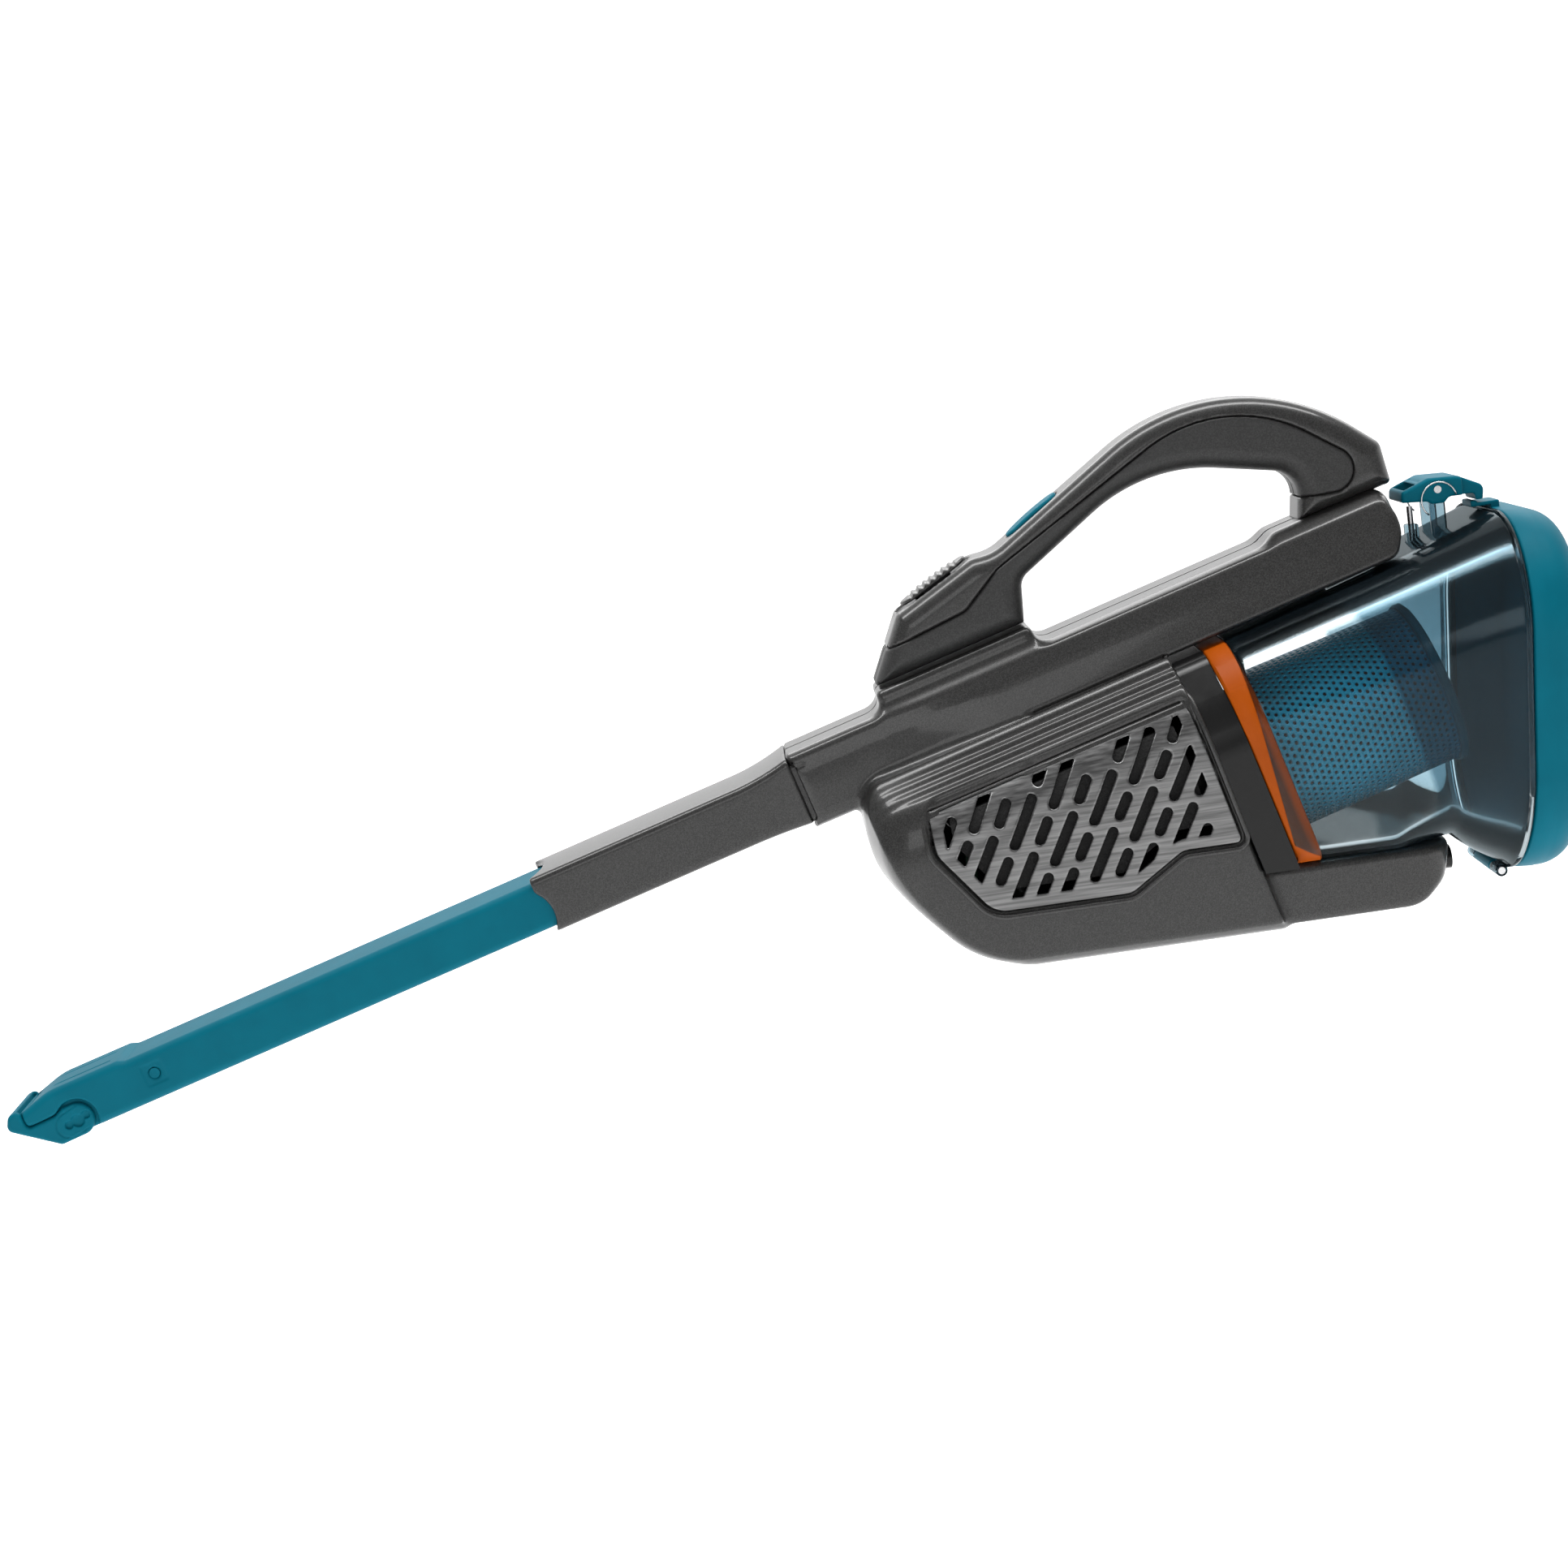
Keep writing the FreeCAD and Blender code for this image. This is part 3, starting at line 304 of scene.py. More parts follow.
def loft_mesh(name, rings, closed_ends=(False, False), close_loop=False):
    """Quads between rings with equal numbers of points; rings are lists of world points."""
    count = len(rings[0])
    verts = [p for ring in rings for p in ring]
    faces = []
    spans = len(rings) if close_loop else len(rings) - 1
    for i in range(spans):
        a, b = i * count, (i + 1) % len(rings) * count
        for k in range(count):
            n = (k + 1) % count
            faces.append((a + k, a + n, b + n, b + k))
    if closed_ends[0]:
        faces.append(tuple(range(count))[::-1])
    if closed_ends[1]:
        faces.append(tuple(range((len(rings) - 1) * count, len(rings) * count)))
    mesh = mesh_from(name, verts, faces)
    work = bmesh.new()
    work.from_mesh(mesh)
    bmesh.ops.recalc_face_normals(work, faces=work.faces)
    work.to_mesh(mesh)
    work.free()
    return mesh


BOX_FACES = [(0, 1, 3, 2), (4, 6, 7, 5), (0, 4, 5, 1), (2, 3, 7, 6), (0, 2, 6, 4), (1, 5, 7, 3)]


def carve(mesh, cutter):
    """The mesh with the cutter's shape taken out of it."""
    holders = [new_object(m.name + "_holder", m) for m in (mesh, cutter)]
    change = holders[0].modifiers.new("opening", "BOOLEAN")
    change.operation, change.object, change.solver = "DIFFERENCE", holders[1], "EXACT"
    bpy.context.view_layer.update()
    graph = bpy.context.evaluated_depsgraph_get()
    made = bpy.data.meshes.new_from_object(holders[0].evaluated_get(graph))
    for holder in holders:
        bpy.data.objects.remove(holder)
    return made


def sharpen(mesh, degrees):
    """Edges past an angle stay sharp."""
    mesh.shade_smooth()
    mesh.set_sharp_from_angle(angle=math.radians(degrees))
    return mesh


def tube_mesh(name, path, radius, closed=False, sides=12):
    """A round tube along world points, turned steadily from point to point."""
    path = [Vector(p) for p in path]
    count = len(path)
    rings = []
    normal = None
    for i, p in enumerate(path):
        if closed:
            along = path[(i + 1) % count] - path[i - 1]
        else:
            along = path[min(i + 1, count - 1)] - path[max(i - 1, 0)]
        along.normalize()
        if normal is None:
            normal = along.orthogonal().normalized()
        normal = (normal - along * normal.dot(along)).normalized()
        across = along.cross(normal)
        rings.append(
            [
                tuple(p + (normal * math.cos(a) + across * math.sin(a)) * radius)
                for a in (2 * math.pi * k / sides for k in range(sides))
            ]
        )
    return loft_mesh(name, rings, (not closed, not closed), closed)


# ---------------------------------------------------------------- materials


def material(name, base, roughness=0.4, metallic=0.0, **sockets):
    """A Principled material; sockets are named in words, such as coat_weight."""
    made = bpy.data.materials.new(name)
    made.use_nodes = True
    shader = made.node_tree.nodes["Principled BSDF"]
    shader.inputs["Base Color"].default_value = (*base, 1)
    shader.inputs["Roughness"].default_value = roughness
    shader.inputs["Metallic"].default_value = metallic
    for key, value in sockets.items():
        shader.inputs[key.replace("_", " ").title().replace("Ior", "IOR")].default_value = value
    return made


def nodes_of(made):
    tree = made.node_tree
    return tree, tree.nodes["Principled BSDF"]


def add(tree, kind, **settings):
    node = tree.nodes.new(kind)
    for key, value in settings.items():
        if key in node.inputs:
            node.inputs[key].default_value = value
        else:
            setattr(node, key, value)
    return node


def object_coordinates(tree, stretch=(1, 1, 1), rotation=(0, 0, 0)):
    coordinates = add(tree, "ShaderNodeTexCoord")
    mapping = add(tree, "ShaderNodeMapping", Scale=stretch, Rotation=rotation)
    tree.links.new(coordinates.outputs["Object"], mapping.inputs["Vector"])
    return mapping.outputs["Vector"]


def noise_texture(tree, scale, detail, turned):
    noise = add(tree, "ShaderNodeTexNoise", Scale=scale, Detail=detail)
    tree.links.new(object_coordinates(tree, **turned), noise.inputs["Vector"])
    return noise.outputs["Fac"]


def two_tones(tree, value, low, high, start, end):
    """A value between start and end turned into a colour from low to high."""
    ramp = add(tree, "ShaderNodeValToRGB")
    for element, position, colour in zip(ramp.color_ramp.elements, (start, end), (low, high)):
        element.position, element.color = position, (*colour, 1)
    tree.links.new(value, ramp.inputs["Fac"])
    return ramp.outputs["Color"]


def vary_colour(made, low, high, scale, detail=2.0, **turned):
    """Base colour between two tones by a noise."""
    tree, shader = nodes_of(made)
    noise = noise_texture(tree, scale, detail, turned)
    tree.links.new(two_tones(tree, noise, low, high, 0.35, 0.65), shader.inputs["Base Color"])


def vary_roughness(made, low, high, scale, **turned):
    tree, shader = nodes_of(made)
    noise = noise_texture(tree, scale, 3.0, turned)
    spread = add(tree, "ShaderNodeMapRange")
    spread.inputs["To Min"].default_value = low
    spread.inputs["To Max"].default_value = high
    tree.links.new(noise, spread.inputs["Value"])
    tree.links.new(spread.outputs["Result"], shader.inputs["Roughness"])


def grain(made, scale, strength, distance=0.0002):
    """A fine moulded surface by bump."""
    tree, shader = nodes_of(made)
    noise = noise_texture(tree, scale, 2.0, {})
    bump = add(tree, "ShaderNodeBump", Strength=strength, Distance=distance)
    tree.links.new(noise, bump.inputs["Height"])
    tree.links.new(bump.outputs["Normal"], shader.inputs["Normal"])


def flakes(made, dark, light, scale=2600):
    """Metallic flakes: small cells of differing brightness."""
    tree, shader = nodes_of(made)
    cells = add(tree, "ShaderNodeTexVoronoi", Scale=scale)
    tree.links.new(object_coordinates(tree), cells.inputs["Vector"])
    tones = two_tones(tree, cells.outputs["Color"], dark, light, 0.25, 0.95)
    tree.links.new(tones, shader.inputs["Base Color"])


grey_paint = material(
    "grey_paint", (0.02, 0.02, 0.02), 0.34, 0.2, specular_ior_level=0.35, coat_weight=0.3, coat_roughness=0.08
)
flakes(grey_paint, (0.013, 0.0128, 0.0125), (0.036, 0.0355, 0.035))
grip_paint = material("grip_paint", (0.04, 0.04, 0.04), 0.5, 0.2)
flakes(grip_paint, (0.012, 0.012, 0.012), (0.026, 0.026, 0.026), 2000)
grain(grip_paint, 1800, 0.25)
teal = material("teal_plastic", (0.0, 0.11, 0.16), 0.5, specular_ior_level=0.07)
vary_colour(teal, (0.0, 0.106, 0.155), (0.0, 0.116, 0.168), 60)
grain(teal, 1500, 0.12)
screen_teal = material("screen_teal", (0.0, 0.19, 0.31), 0.34, 0.1, specular_ior_level=0.2)
vary_colour(screen_teal, (0.0, 0.18, 0.29), (0.0, 0.2, 0.33), 90)
orange = material("orange_seal", (0.33, 0.058, 0.0), 0.45, specular_ior_level=0.12)
vary_colour(orange, (0.31, 0.054, 0.0), (0.35, 0.062, 0.0), 45)
steel = material("brushed_steel", (0.5, 0.5, 0.5), 0.3, 1.0)
BRUSHED = dict(stretch=(30, 900, 900), rotation=(0, -SLOPE, 0))
vary_colour(steel, (0.1, 0.1, 0.1), (0.2, 0.2, 0.2), 1.0, 6.0, **BRUSHED)
vary_roughness(steel, 0.24, 0.42, 1.0, **BRUSHED)
black = material(
    "black_plastic", (0.006, 0.006, 0.006), 0.25, specular_ior_level=0.2, coat_weight=0.08, coat_roughness=0.1
)
vary_roughness(black, 0.18, 0.3, 200)
rubber = material("black_rubber", (0.012, 0.012, 0.012), 0.75)
grain(rubber, 900, 0.3)
foam = material("dark_foam", (0.008, 0.008, 0.008), 0.95)
grain(foam, 700, 1.0, 0.0008)
zinc = material("plated_steel", (0.55, 0.55, 0.56), 0.25, 1.0)
vary_roughness(zinc, 0.2, 0.34, 400)
brass = material("plated_contact", (0.75, 0.55, 0.28), 0.3, 1.0)
vary_roughness(brass, 0.25, 0.4, 300)
# Painted shade: the filter cloth is a near-black grey so that the holes of the screen in front of it look
# dark, the colour standing in for the shade inside the screen
filter_cloth = material("filter_cloth", (0.03, 0.032, 0.034), 0.95)
grain(filter_cloth, 1600, 0.6)
circuit = material("circuit_board", (0.01, 0.09, 0.04), 0.4)
vary_colour(circuit, (0.008, 0.08, 0.035), (0.015, 0.11, 0.05), 250)
wrap = material("cell_wrap", (0.04, 0.12, 0.3), 0.35)
vary_colour(wrap, (0.035, 0.11, 0.28), (0.045, 0.13, 0.32), 120)
duct_plastic = material("duct_plastic", (0.04, 0.04, 0.042), 0.45)
grain(duct_plastic, 900, 0.15)
bristle = material("nylon_bristle", (0.01, 0.01, 0.01), 0.5)
vary_roughness(bristle, 0.4, 0.6, 500)


WINDOW_MIDDLE, WINDOW_HALF_SIZE = (37, 0, 6), (0.027, 1, 0.047)  # in the motor's frame; in metres
WINDOW_POWER, WINDOW_INSIDE, WINDOW_OUTSIDE = 6, 0.8, 1.35


def smoky_clear():
    """Clear smoke-tinted plastic; two side windows are clearer than the rest."""
    made = bpy.data.materials.new("smoky_clear")
    made.use_nodes = True
    tree = made.node_tree
    tree.nodes.clear()
    link = tree.links.new
    out = add(tree, "ShaderNodeOutputMaterial")
    clear = add(tree, "ShaderNodeBsdfTransparent")
    haze = add(tree, "ShaderNodeBsdfDiffuse", Color=(0.05, 0.08, 0.1, 1))
    gloss = add(tree, "ShaderNodeBsdfAnisotropic", Color=(0.36, 0.41, 0.43, 1), Roughness=0.12)
    edge = add(tree, "ShaderNodeFresnel", IOR=1.45)
    coordinates = add(tree, "ShaderNodeTexCoord")
    mapping = add(tree, "ShaderNodeMapping", vector_type="TEXTURE")
    mapping.inputs["Location"].default_value = MOTOR.point(*WINDOW_MIDDLE) * MM
    mapping.inputs["Rotation"].default_value = (0, -SLOPE, 0)
    mapping.inputs["Scale"].default_value = WINDOW_HALF_SIZE
    link(coordinates.outputs["Object"], mapping.inputs["Vector"])
    split = add(tree, "ShaderNodeSeparateXYZ")
    link(mapping.outputs["Vector"], split.inputs["Vector"])
    total = add(tree, "ShaderNodeMath", operation="ADD")
    for i, axis in enumerate("XZ"):
        size = add(tree, "ShaderNodeMath", operation="ABSOLUTE")
        link(split.outputs[axis], size.inputs[0])
        power = add(tree, "ShaderNodeMath", operation="POWER")
        power.inputs[1].default_value = WINDOW_POWER
        link(size.outputs[0], power.inputs[0])
        link(power.outputs[0], total.inputs[i])
    window = add(tree, "ShaderNodeMapRange")
    window.inputs["From Min"].default_value = WINDOW_INSIDE
    window.inputs["From Max"].default_value = WINDOW_OUTSIDE
    link(total.outputs[0], window.inputs["Value"])
    tint = two_tones(tree, window.outputs["Result"], (0.97, 0.985, 0.99), (0.53, 0.65, 0.7), 0, 1)
    link(tint, clear.inputs["Color"])
    cloud = add(tree, "ShaderNodeMapRange")
    cloud.inputs["To Min"].default_value, cloud.inputs["To Max"].default_value = 0.0, 0.08
    link(window.outputs["Result"], cloud.inputs["Value"])
    surface = clear.outputs[0]
    for share, layer in ((cloud.outputs["Result"], haze), (edge.outputs[0], gloss)):
        blend = add(tree, "ShaderNodeMixShader")
        for socket, source in enumerate((share, surface, layer.outputs[0])):
            link(source, blend.inputs[socket])
        surface = blend.outputs[0]
    link(surface, out.inputs["Surface"])
    return made


smoke = smoky_clear()

# ---------------------------------------------------------------- housing


def mirrored(half):
    """The outline of a section across y, from the points of its right half, top to bottom."""
    return Outline(half + [(-p[0], *p[1:]) for p in half[::-1]])


# Side views of the pod, the base, the vents and the handle are in the world's x and z; those of the spine,
# the nozzle and the tool are in DUCT's. Sections are across y; the pod's is in the motor's z.

HALF_WIDTH, SIDE_RADIUS = 56.5, 34  # the pod's, and the bend from its side to its shoulder
HOUSING_WALL = 2.6
HALF_PARTING = 0.05  # from the middle plane to either half
COLLAR_X = 156.7
POD_SIDE = Outline(
    [(-96, 0, 45), (60, 0), (60, 132.2), (-8.1, 114.5), (-101, 98, 40), (-122, 88, 16), (-140, 69, 12),
     (-137, 45, 40)]
)
POD_PLAN = Outline(
    [(60, -56.5), (60, 56.5), (-128, 56.5, 24), (-141, 28, 22), (-141, -28, 22), (-128, -56.5, 24)]
)
POD_SECTION = mirrored([(20, 58.6), (31.5, 58.6, 1.2), (HALF_WIDTH, 38, SIDE_RADIUS), (HALF_WIDTH, -160)])
BASE_SIDE = Outline([(-92, 0, 18), (80, 0, 16), (92, 9.5, 10), (97.2, 24.6, 3), (-92, 24.6)])
BASE_PLAN = Outline([(97, -47, 16), (97, 47, 16), (-110, 47), (-110, -47)])
SPINE_SIDE = Outline(
    [(-0.2, -15.4, 1), (40, -15.6), (156.6, -15.4), (156.6, -7.4), (257, -7.4, 6), (265, 4, 14),
     (262, 17.6, 6), (-0.2, 17.2, 1)]
)
SPINE_SECTION = mirrored([(15, 17.8, 1.5), (20.5, 15.5, 5), (24, 9, 6), (30, -8, 4), (30, -30)])
SPINE_PLAN = Outline(
    [(-5, -21.7), (30, -21.7, 60), (84, -30, 60), (266, -30, 8), (266, 30, 8), (84, 30, 60), (30, 21.7, 60),
     (-5, 21.7)]
)
VENT_OUTLINE = Outline(
    [(-36, 24.8, 8), (-14, 38.9, 8), (9.8, 38.9, 2), (-5.6, 97.6, 2), (-112, 69.6, 7), (-111, 51, 10),
     (-91, 24.8, 12)]
)
DUCT_TO_MOTOR = 65  # from the tool's axis down to the motor's
FIRST_FLUTE, LAST_FLUTE, FLUTE_PITCH, FLUTE_DEPTH, FLUTES_ABOVE = -10.5, 4.5, 5, 0.42, 36


def pod_shape(x, y, z):
    """The motor pod; three flutes run along its slanted shoulder and die out towards the front."""
    wx, wz = DUCT.world(x, z)
    zm = z + DUCT_TO_MOTOR
    section = POD_SECTION(np.abs(y), zm)
    down = 0.772 * np.abs(y) - 0.636 * zm  # the way down the shoulder's slant
    fluted = (down > FIRST_FLUTE) & (down < LAST_FLUTE) & (zm > FLUTES_ABOVE)
    wave = fluted * (1 - np.cos(2 * math.pi * (down - FIRST_FLUTE) / FLUTE_PITCH))
    section = section + FLUTE_DEPTH * wave * np.clip((x - 18) / 60, 0, 1)
    whole = both(both(POD_SIDE(wx, wz), section, 2), POD_PLAN(wx, y), 12)
    return both(whole, x - COLLAR_X, 1.2)


def base_shape(x, y, z):
    wx, wz = DUCT.world(x, z)
    return both(BASE_SIDE(wx, wz), BASE_PLAN(wx, y), 3.5)


def spine_shape(x, y, z):
    section = SPINE_SECTION(np.abs(y), z)
    return both(both(SPINE_SIDE(x, z), section, 2.5), SPINE_PLAN(x, y), 6)


def pedestal_shape(x, y, z):
    front = both(slab(x, 43.5, 112), bar(y, z, 17, 5, 25.6, 4), 3)
    rear = both(slab(x, 214, 262), bar(y, z, 15.5, 5, 19.6, 5), 4)
    return np.minimum(front, rear)


def housing_skin(x, y, z):
    """Pod, spine, base and pedestals together; to the rear, a groove runs along the foot of the spine."""
    pod, spine = pod_shape(x, y, z), spine_shape(x, y, z)
    rearward = np.clip((x - 60) / 40, 0, 1)
    body = either(pod, spine, 4.5 - 3 * rearward)
    body = without(body, np.hypot(pod, spine) - 2.4 * rearward + 1.4, 0.4)
    body = either(body, base_shape(x, y, z), 5)
    return either(body, pedestal_shape(x, y, z), 7)


def housing_shape(x, y, z):
    """The near half: a shell with its openings, cut at the middle plane."""
    wx, wz = DUCT.world(x, z)
    skin = housing_skin(x, y, z)
    shell = without(skin, skin + HOUSING_WALL, 0.4)
    vent = VENT_OUTLINE(wx, wz)
    seat = np.maximum(vent - 0.6, -(pod_shape(x, y, z) + 1.3))
    window = np.maximum(vent + 4, 36 - np.abs(y))
    mouth = np.maximum(bar(y, z, 19.4, -12.9, 12.9, 2), x - 6)
    intake = np.maximum(disc(y, z, 0, -DUCT_TO_MOTOR, 22), 140 - x)
    outlet = np.maximum(bar(y, x, 15, 229, 248, 2), z + 1)
    bay = np.maximum(np.maximum(slab(wx, -68.3, 68.3), np.abs(y) - 39.3), wz - 2.8)
    release = np.maximum(disc(y, wz, 0, 8, 5.3), 80 - wx)
    for hole in (seat, window, mouth, intake, outlet, bay, release):
        shell = without(shell, hole, 0.6)
    return both(shell, y + HALF_PARTING, 0.5)


for side, sign in SIDES.items():
    net_piece(f"{side}_shell", housing_shape, DUCT, (-2, -58, -146), (268, 0.6, 27), 1.1,
              "main_unit", grey_paint, [f"{side}_housing"], sign > 0)

# ---------------------------------------------------------------- vent grilles and their trim

SLOT_ANGLE = math.radians(61.5)
FIRST_SLOT, NEXT_LINE = (-48.4, 54.2), (7.5, -4.3)
SLOT_PERIOD, LONG_SLOT, SHORT_SLOT, SLOT_GAP, SLOT_RADIUS = 41.5, 23.3, 12, 3.1, 2
SLOT_BORDER, MIDDLE_INSET = 4.8, 2.0  # how far inside the vent's outline slots end and have their middles
SIDE_BEND = 18.3  # where the pod's side begins to bend, above the motor's axis
PLATE_DEPTH, PLATE_STAND, PLATE_EDGE = 1.3, 0.15, 0.45
TRIM_OFFSET, TRIM_RADIUS = 2.6, 1.05
FAR = 20.0


def slots_shape(x, z):
    """Distance to the nearest slot of a slanted pattern with staggered lines of long and short slots."""
    dx, dz = math.cos(SLOT_ANGLE), math.sin(SLOT_ANGLE)
    u = (x - FIRST_SLOT[0]) * dx + (z - FIRST_SLOT[1]) * dz
    v = (x - FIRST_SLOT[0]) * dz - (z - FIRST_SLOT[1]) * dx
    slip = NEXT_LINE[0] * dx + NEXT_LINE[1] * dz
    pitch = NEXT_LINE[0] * dz - NEXT_LINE[1] * dx
    line = np.round(v / pitch)
    across = v - line * pitch
    best = FAR
    for start, length in ((0, LONG_SLOT), (LONG_SLOT + SLOT_GAP, SHORT_SLOT)):
        first = line * slip + (line % 2) * SLOT_PERIOD / 2 + start + length / 2
        middle = first + np.round((u - first) / SLOT_PERIOD) * SLOT_PERIOD
        gap = np.hypot(np.maximum(np.abs(u - middle) - length / 2 + SLOT_RADIUS, 0), across) - SLOT_RADIUS
        mx = FIRST_SLOT[0] + middle * dx + line * pitch * dz
        mz = FIRST_SLOT[1] + middle * dz - line * pitch * dx
        best = np.minimum(best, np.where(VENT_OUTLINE(mx, mz) < -MIDDLE_INSET, gap, FAR))
    return best


def side_y(x, z):
    """Half-width of the pod's curved side at a place in the world's x and z."""
    zm = (z - MOTOR.z) * MOTOR.c - (x - MOTOR.x) * MOTOR.s
    above = np.clip(zm - SIDE_BEND, 0, SIDE_RADIUS - 1)
    return HALF_WIDTH - SIDE_RADIUS + np.sqrt(SIDE_RADIUS**2 - above**2)


def grille_shape(x, y, z):
    vent = VENT_OUTLINE(x, z)
    height = np.abs(y) - side_y(x, z)
    plate = both(vent, slab(height, -PLATE_DEPTH, PLATE_STAND), PLATE_EDGE)
    return without(plate, np.maximum(slots_shape(x, z), vent + SLOT_BORDER), PLATE_EDGE)


def even_loop(points, step):
    """A closed loop with its points at even distances."""
    made = []
    for i, a in enumerate(points):
        b = points[(i + 1) % len(points)]
        count = max(1, round(math.hypot(b[0] - a[0], b[1] - a[1]) / step))
        made += [(a[0] + (b[0] - a[0]) * k / count, a[1] + (b[1] - a[1]) * k / count) for k in range(count)]
    return made


def trim_path(sign):
    """World points around the vent's outline, on the pod's side."""
    edge = even_loop(VENT_OUTLINE.points(), 2)
    made = []
    for i, p in enumerate(edge):
        a, b = np.array(edge[i - 1]), np.array(edge[(i + 1) % len(edge)])
        along = (b - a) / np.linalg.norm(b - a)
        x, z = p[0] + along[1] * TRIM_OFFSET, p[1] - along[0] * TRIM_OFFSET
        made.append((x, sign * (float(side_y(x, z)) - 0.1), z))
    return made


for side, sign in SIDES.items():
    net_piece(f"grille_{side}", grille_shape, WORLD, (-116, -57.4, 24), (11, -43, 99), 0.55,
              "main_unit", steel, [f"vent_grille_{side}"], sign > 0)
    trim = tube_mesh(f"grille_trim_{side}", trim_path(sign), TRIM_RADIUS, True)
    piece(f"grille_trim_{side}", trim, "main_unit", grey_paint)

# ---------------------------------------------------------------- nozzle, crevice tool and flip brush


def nozzle_shape(x, y, z):
    """The tool's sleeve: wider at its root, scalloped at its mouth, with a spigot in the housing."""
    grow = np.clip((x + 26) / 26, 0, 1) ** 2
    crown = 1.2 * (1 - (y / 22) ** 2)
    raised = z - crown * 0.5 - grow * 0.9
    outside = bar(y, raised, 20 + grow * 1.5, -12.2 - grow * 1.8, 12.4 + grow * 2.6, 3.2)
    outside = both(outside, slab(x, -116, -0.25), 0.7)
    side_scoop = np.hypot(x + 121.5, (z + 3.5) * 0.8) - 9.5
    top_scoop = np.hypot(x + 124, y * 0.62) - 13
    outside = without(outside, np.maximum(side_scoop, 2 - np.abs(y)), 1.2)
    outside = without(outside, np.maximum(top_scoop, 6 - z), 1.0)
    spigot = both(slab(x, -2, 8), bar(y, z, 19.1, -12.6, 12.6, 2), 0.6)
    whole = np.minimum(outside, spigot)
    return without(whole, bar(y, z, 17.7, -10.5, 10.5, 0.8), 0.4)


net_piece("nozzle_sleeve", nozzle_shape, DUCT, (-117, -23, -16), (9, 23, 18), 0.75,
          "main_unit", grey_paint, ["nozzle"])

TOOL_SIDE = Outline(
    [(-89.3, -10.1, 0.6), (-89.3, 10.1, 0.6), (-300, 10.1, 2), (-303.5, 11.4, 2), (-335, 11.4, 30),
     (-352, 6.5, 4), (-351.5, 1.0, 1), (-338.5, -3.6, 1), (-337, -9.2, 1), (-330, -10.1, 2)]
)
FRAME_SIDE = Outline(
    [(-338.5, -11.4, 2), (-321, -11.1, 7), (-321, 2.9, 7), (-332, 2.9, 3), (-336, 1.0, 3), (-348.5, 0.6, 2),
     (-349, 9, 2), (-354, 8.5, 3), (-357, 3, 3)]
)
PIVOT = (-328, -4.1)
MOUTH_X = -336  # the tool's tip is open below from here forwards


def tool_shape(x, y, z):
    """The crevice tool: a tube with an open slanted tip, cut back where the brush's arms turn."""
    flat = np.abs(y)
    outside = both(TOOL_SIDE(x, z), flat - 17.3, 3.4)
    arms = np.minimum(FRAME_SIDE(x, z) - 0.5, disc(x, z, *PIVOT, 8.9))
    outside = without(outside, np.maximum(arms, 14.7 - flat), 0.6)
    room = np.maximum(bar(y, z, 15.5, -8.3, 8.3, 1.5), -(x + 312))
    tip_room = np.maximum(bar(y, z, 12.8, -30, 8.0, 1.5), slab(x, -348.5, -310))
    tip_room = np.where(x > MOUTH_X, np.maximum(tip_room, -(z + 9.3)), tip_room)
    shell = without(without(outside, room, 0.5), tip_room, 0.5)
    engraved = np.maximum(slab(x, -334, -308), np.abs(flat - 7) - 0.45)
    shell = without(shell, np.maximum(engraved, 11.0 - z), 0.2)
    well = np.maximum(np.maximum(slab(x, -295, -286), slab(z, -3.6, 5.4)), 17.0 - flat)
    hole = np.maximum(disc(x, z, -290.4, 0.9, 2.35), 12 - flat)
    return without(without(shell, well, 0.6), hole, 0.3)


net_piece("crevice_tube", tool_shape, DUCT, (-354, -18, -12), (-88.5, 18, 13), 0.8,
          "crevice", teal, ["crevice_tool"])


def brush_frame_shape(x, y, z):
    """The brush's yoke, with an oval groove and a key-shaped recess on each boss."""
    flat = np.abs(y)
    block = both(FRAME_SIDE(x, z), flat - 17.4, 1.6)
    gap = np.maximum(flat - 15.1, -(x + 351))
    block = without(block, gap, 0.5)
    along = np.abs((x - PIVOT[0]) * 0.98 + (z - PIVOT[1]) * 0.17)
    across = -(x - PIVOT[0]) * 0.17 + (z - PIVOT[1]) * 0.98
    oval = np.abs(stadium(along, across, 4.2, 5.3)) - 0.35
    block = np.maximum(block, -np.maximum(oval, 17.0 - flat))
    key = np.minimum(stadium(along, across, 4.4, 1.2), np.hypot(along, across + 0.4) - 2.7)
    key = np.minimum(key, np.hypot(along - 4.2, across) - 1.7)
    return without(block, np.maximum(key, 16.3 - flat), 0.3)


net_piece("brush_yoke", brush_frame_shape, DUCT, (-358, -19, -12), (-320, 19, 10), 0.55,
          "flip_brush", teal, ["brush_frame"])

# ---------------------------------------------------------------- handle

HANDLE = Outline(
    [(-124.5, 114, 1), (-60.5, 131.8), (-59.5, 149.5, 7), (-3.9, 187.9, 68), (57, 176.3, 11),
     (54.4, 156.5), (93.6, 167, 2), (90.6, 183.5, 5), (32.4, 229.8, 84), (-70, 161.5, 20), (-79, 160.5, 10),
     (-111.6, 142.2, 5)]
)
GRIP = Outline(
    [(-140, 100), (-30, 128), (40, 150), (40, 165.6), (72, 167, 6), (84.5, 176, 9), (30, 213.5, 60),
     (-3, 195, 30), (-69.3, 155.5, 9), (-84, 140.5, 10), (-140, 121)]
)


HANDLE_WALL = 2.8
GRIP_GAP = 0.28  # from the line between grip and cover to either of them


def handle_outer(x, y, z):
    """The whole handle without its parting lines, widest in the middle of the grip."""
    swell = np.clip((x + 62) / 40, 0, 1) * np.clip((80 - x) / 40, 0, 1)
    return both(HANDLE(x, z), np.abs(y) - 16 + 1.2 * swell, 8.5)


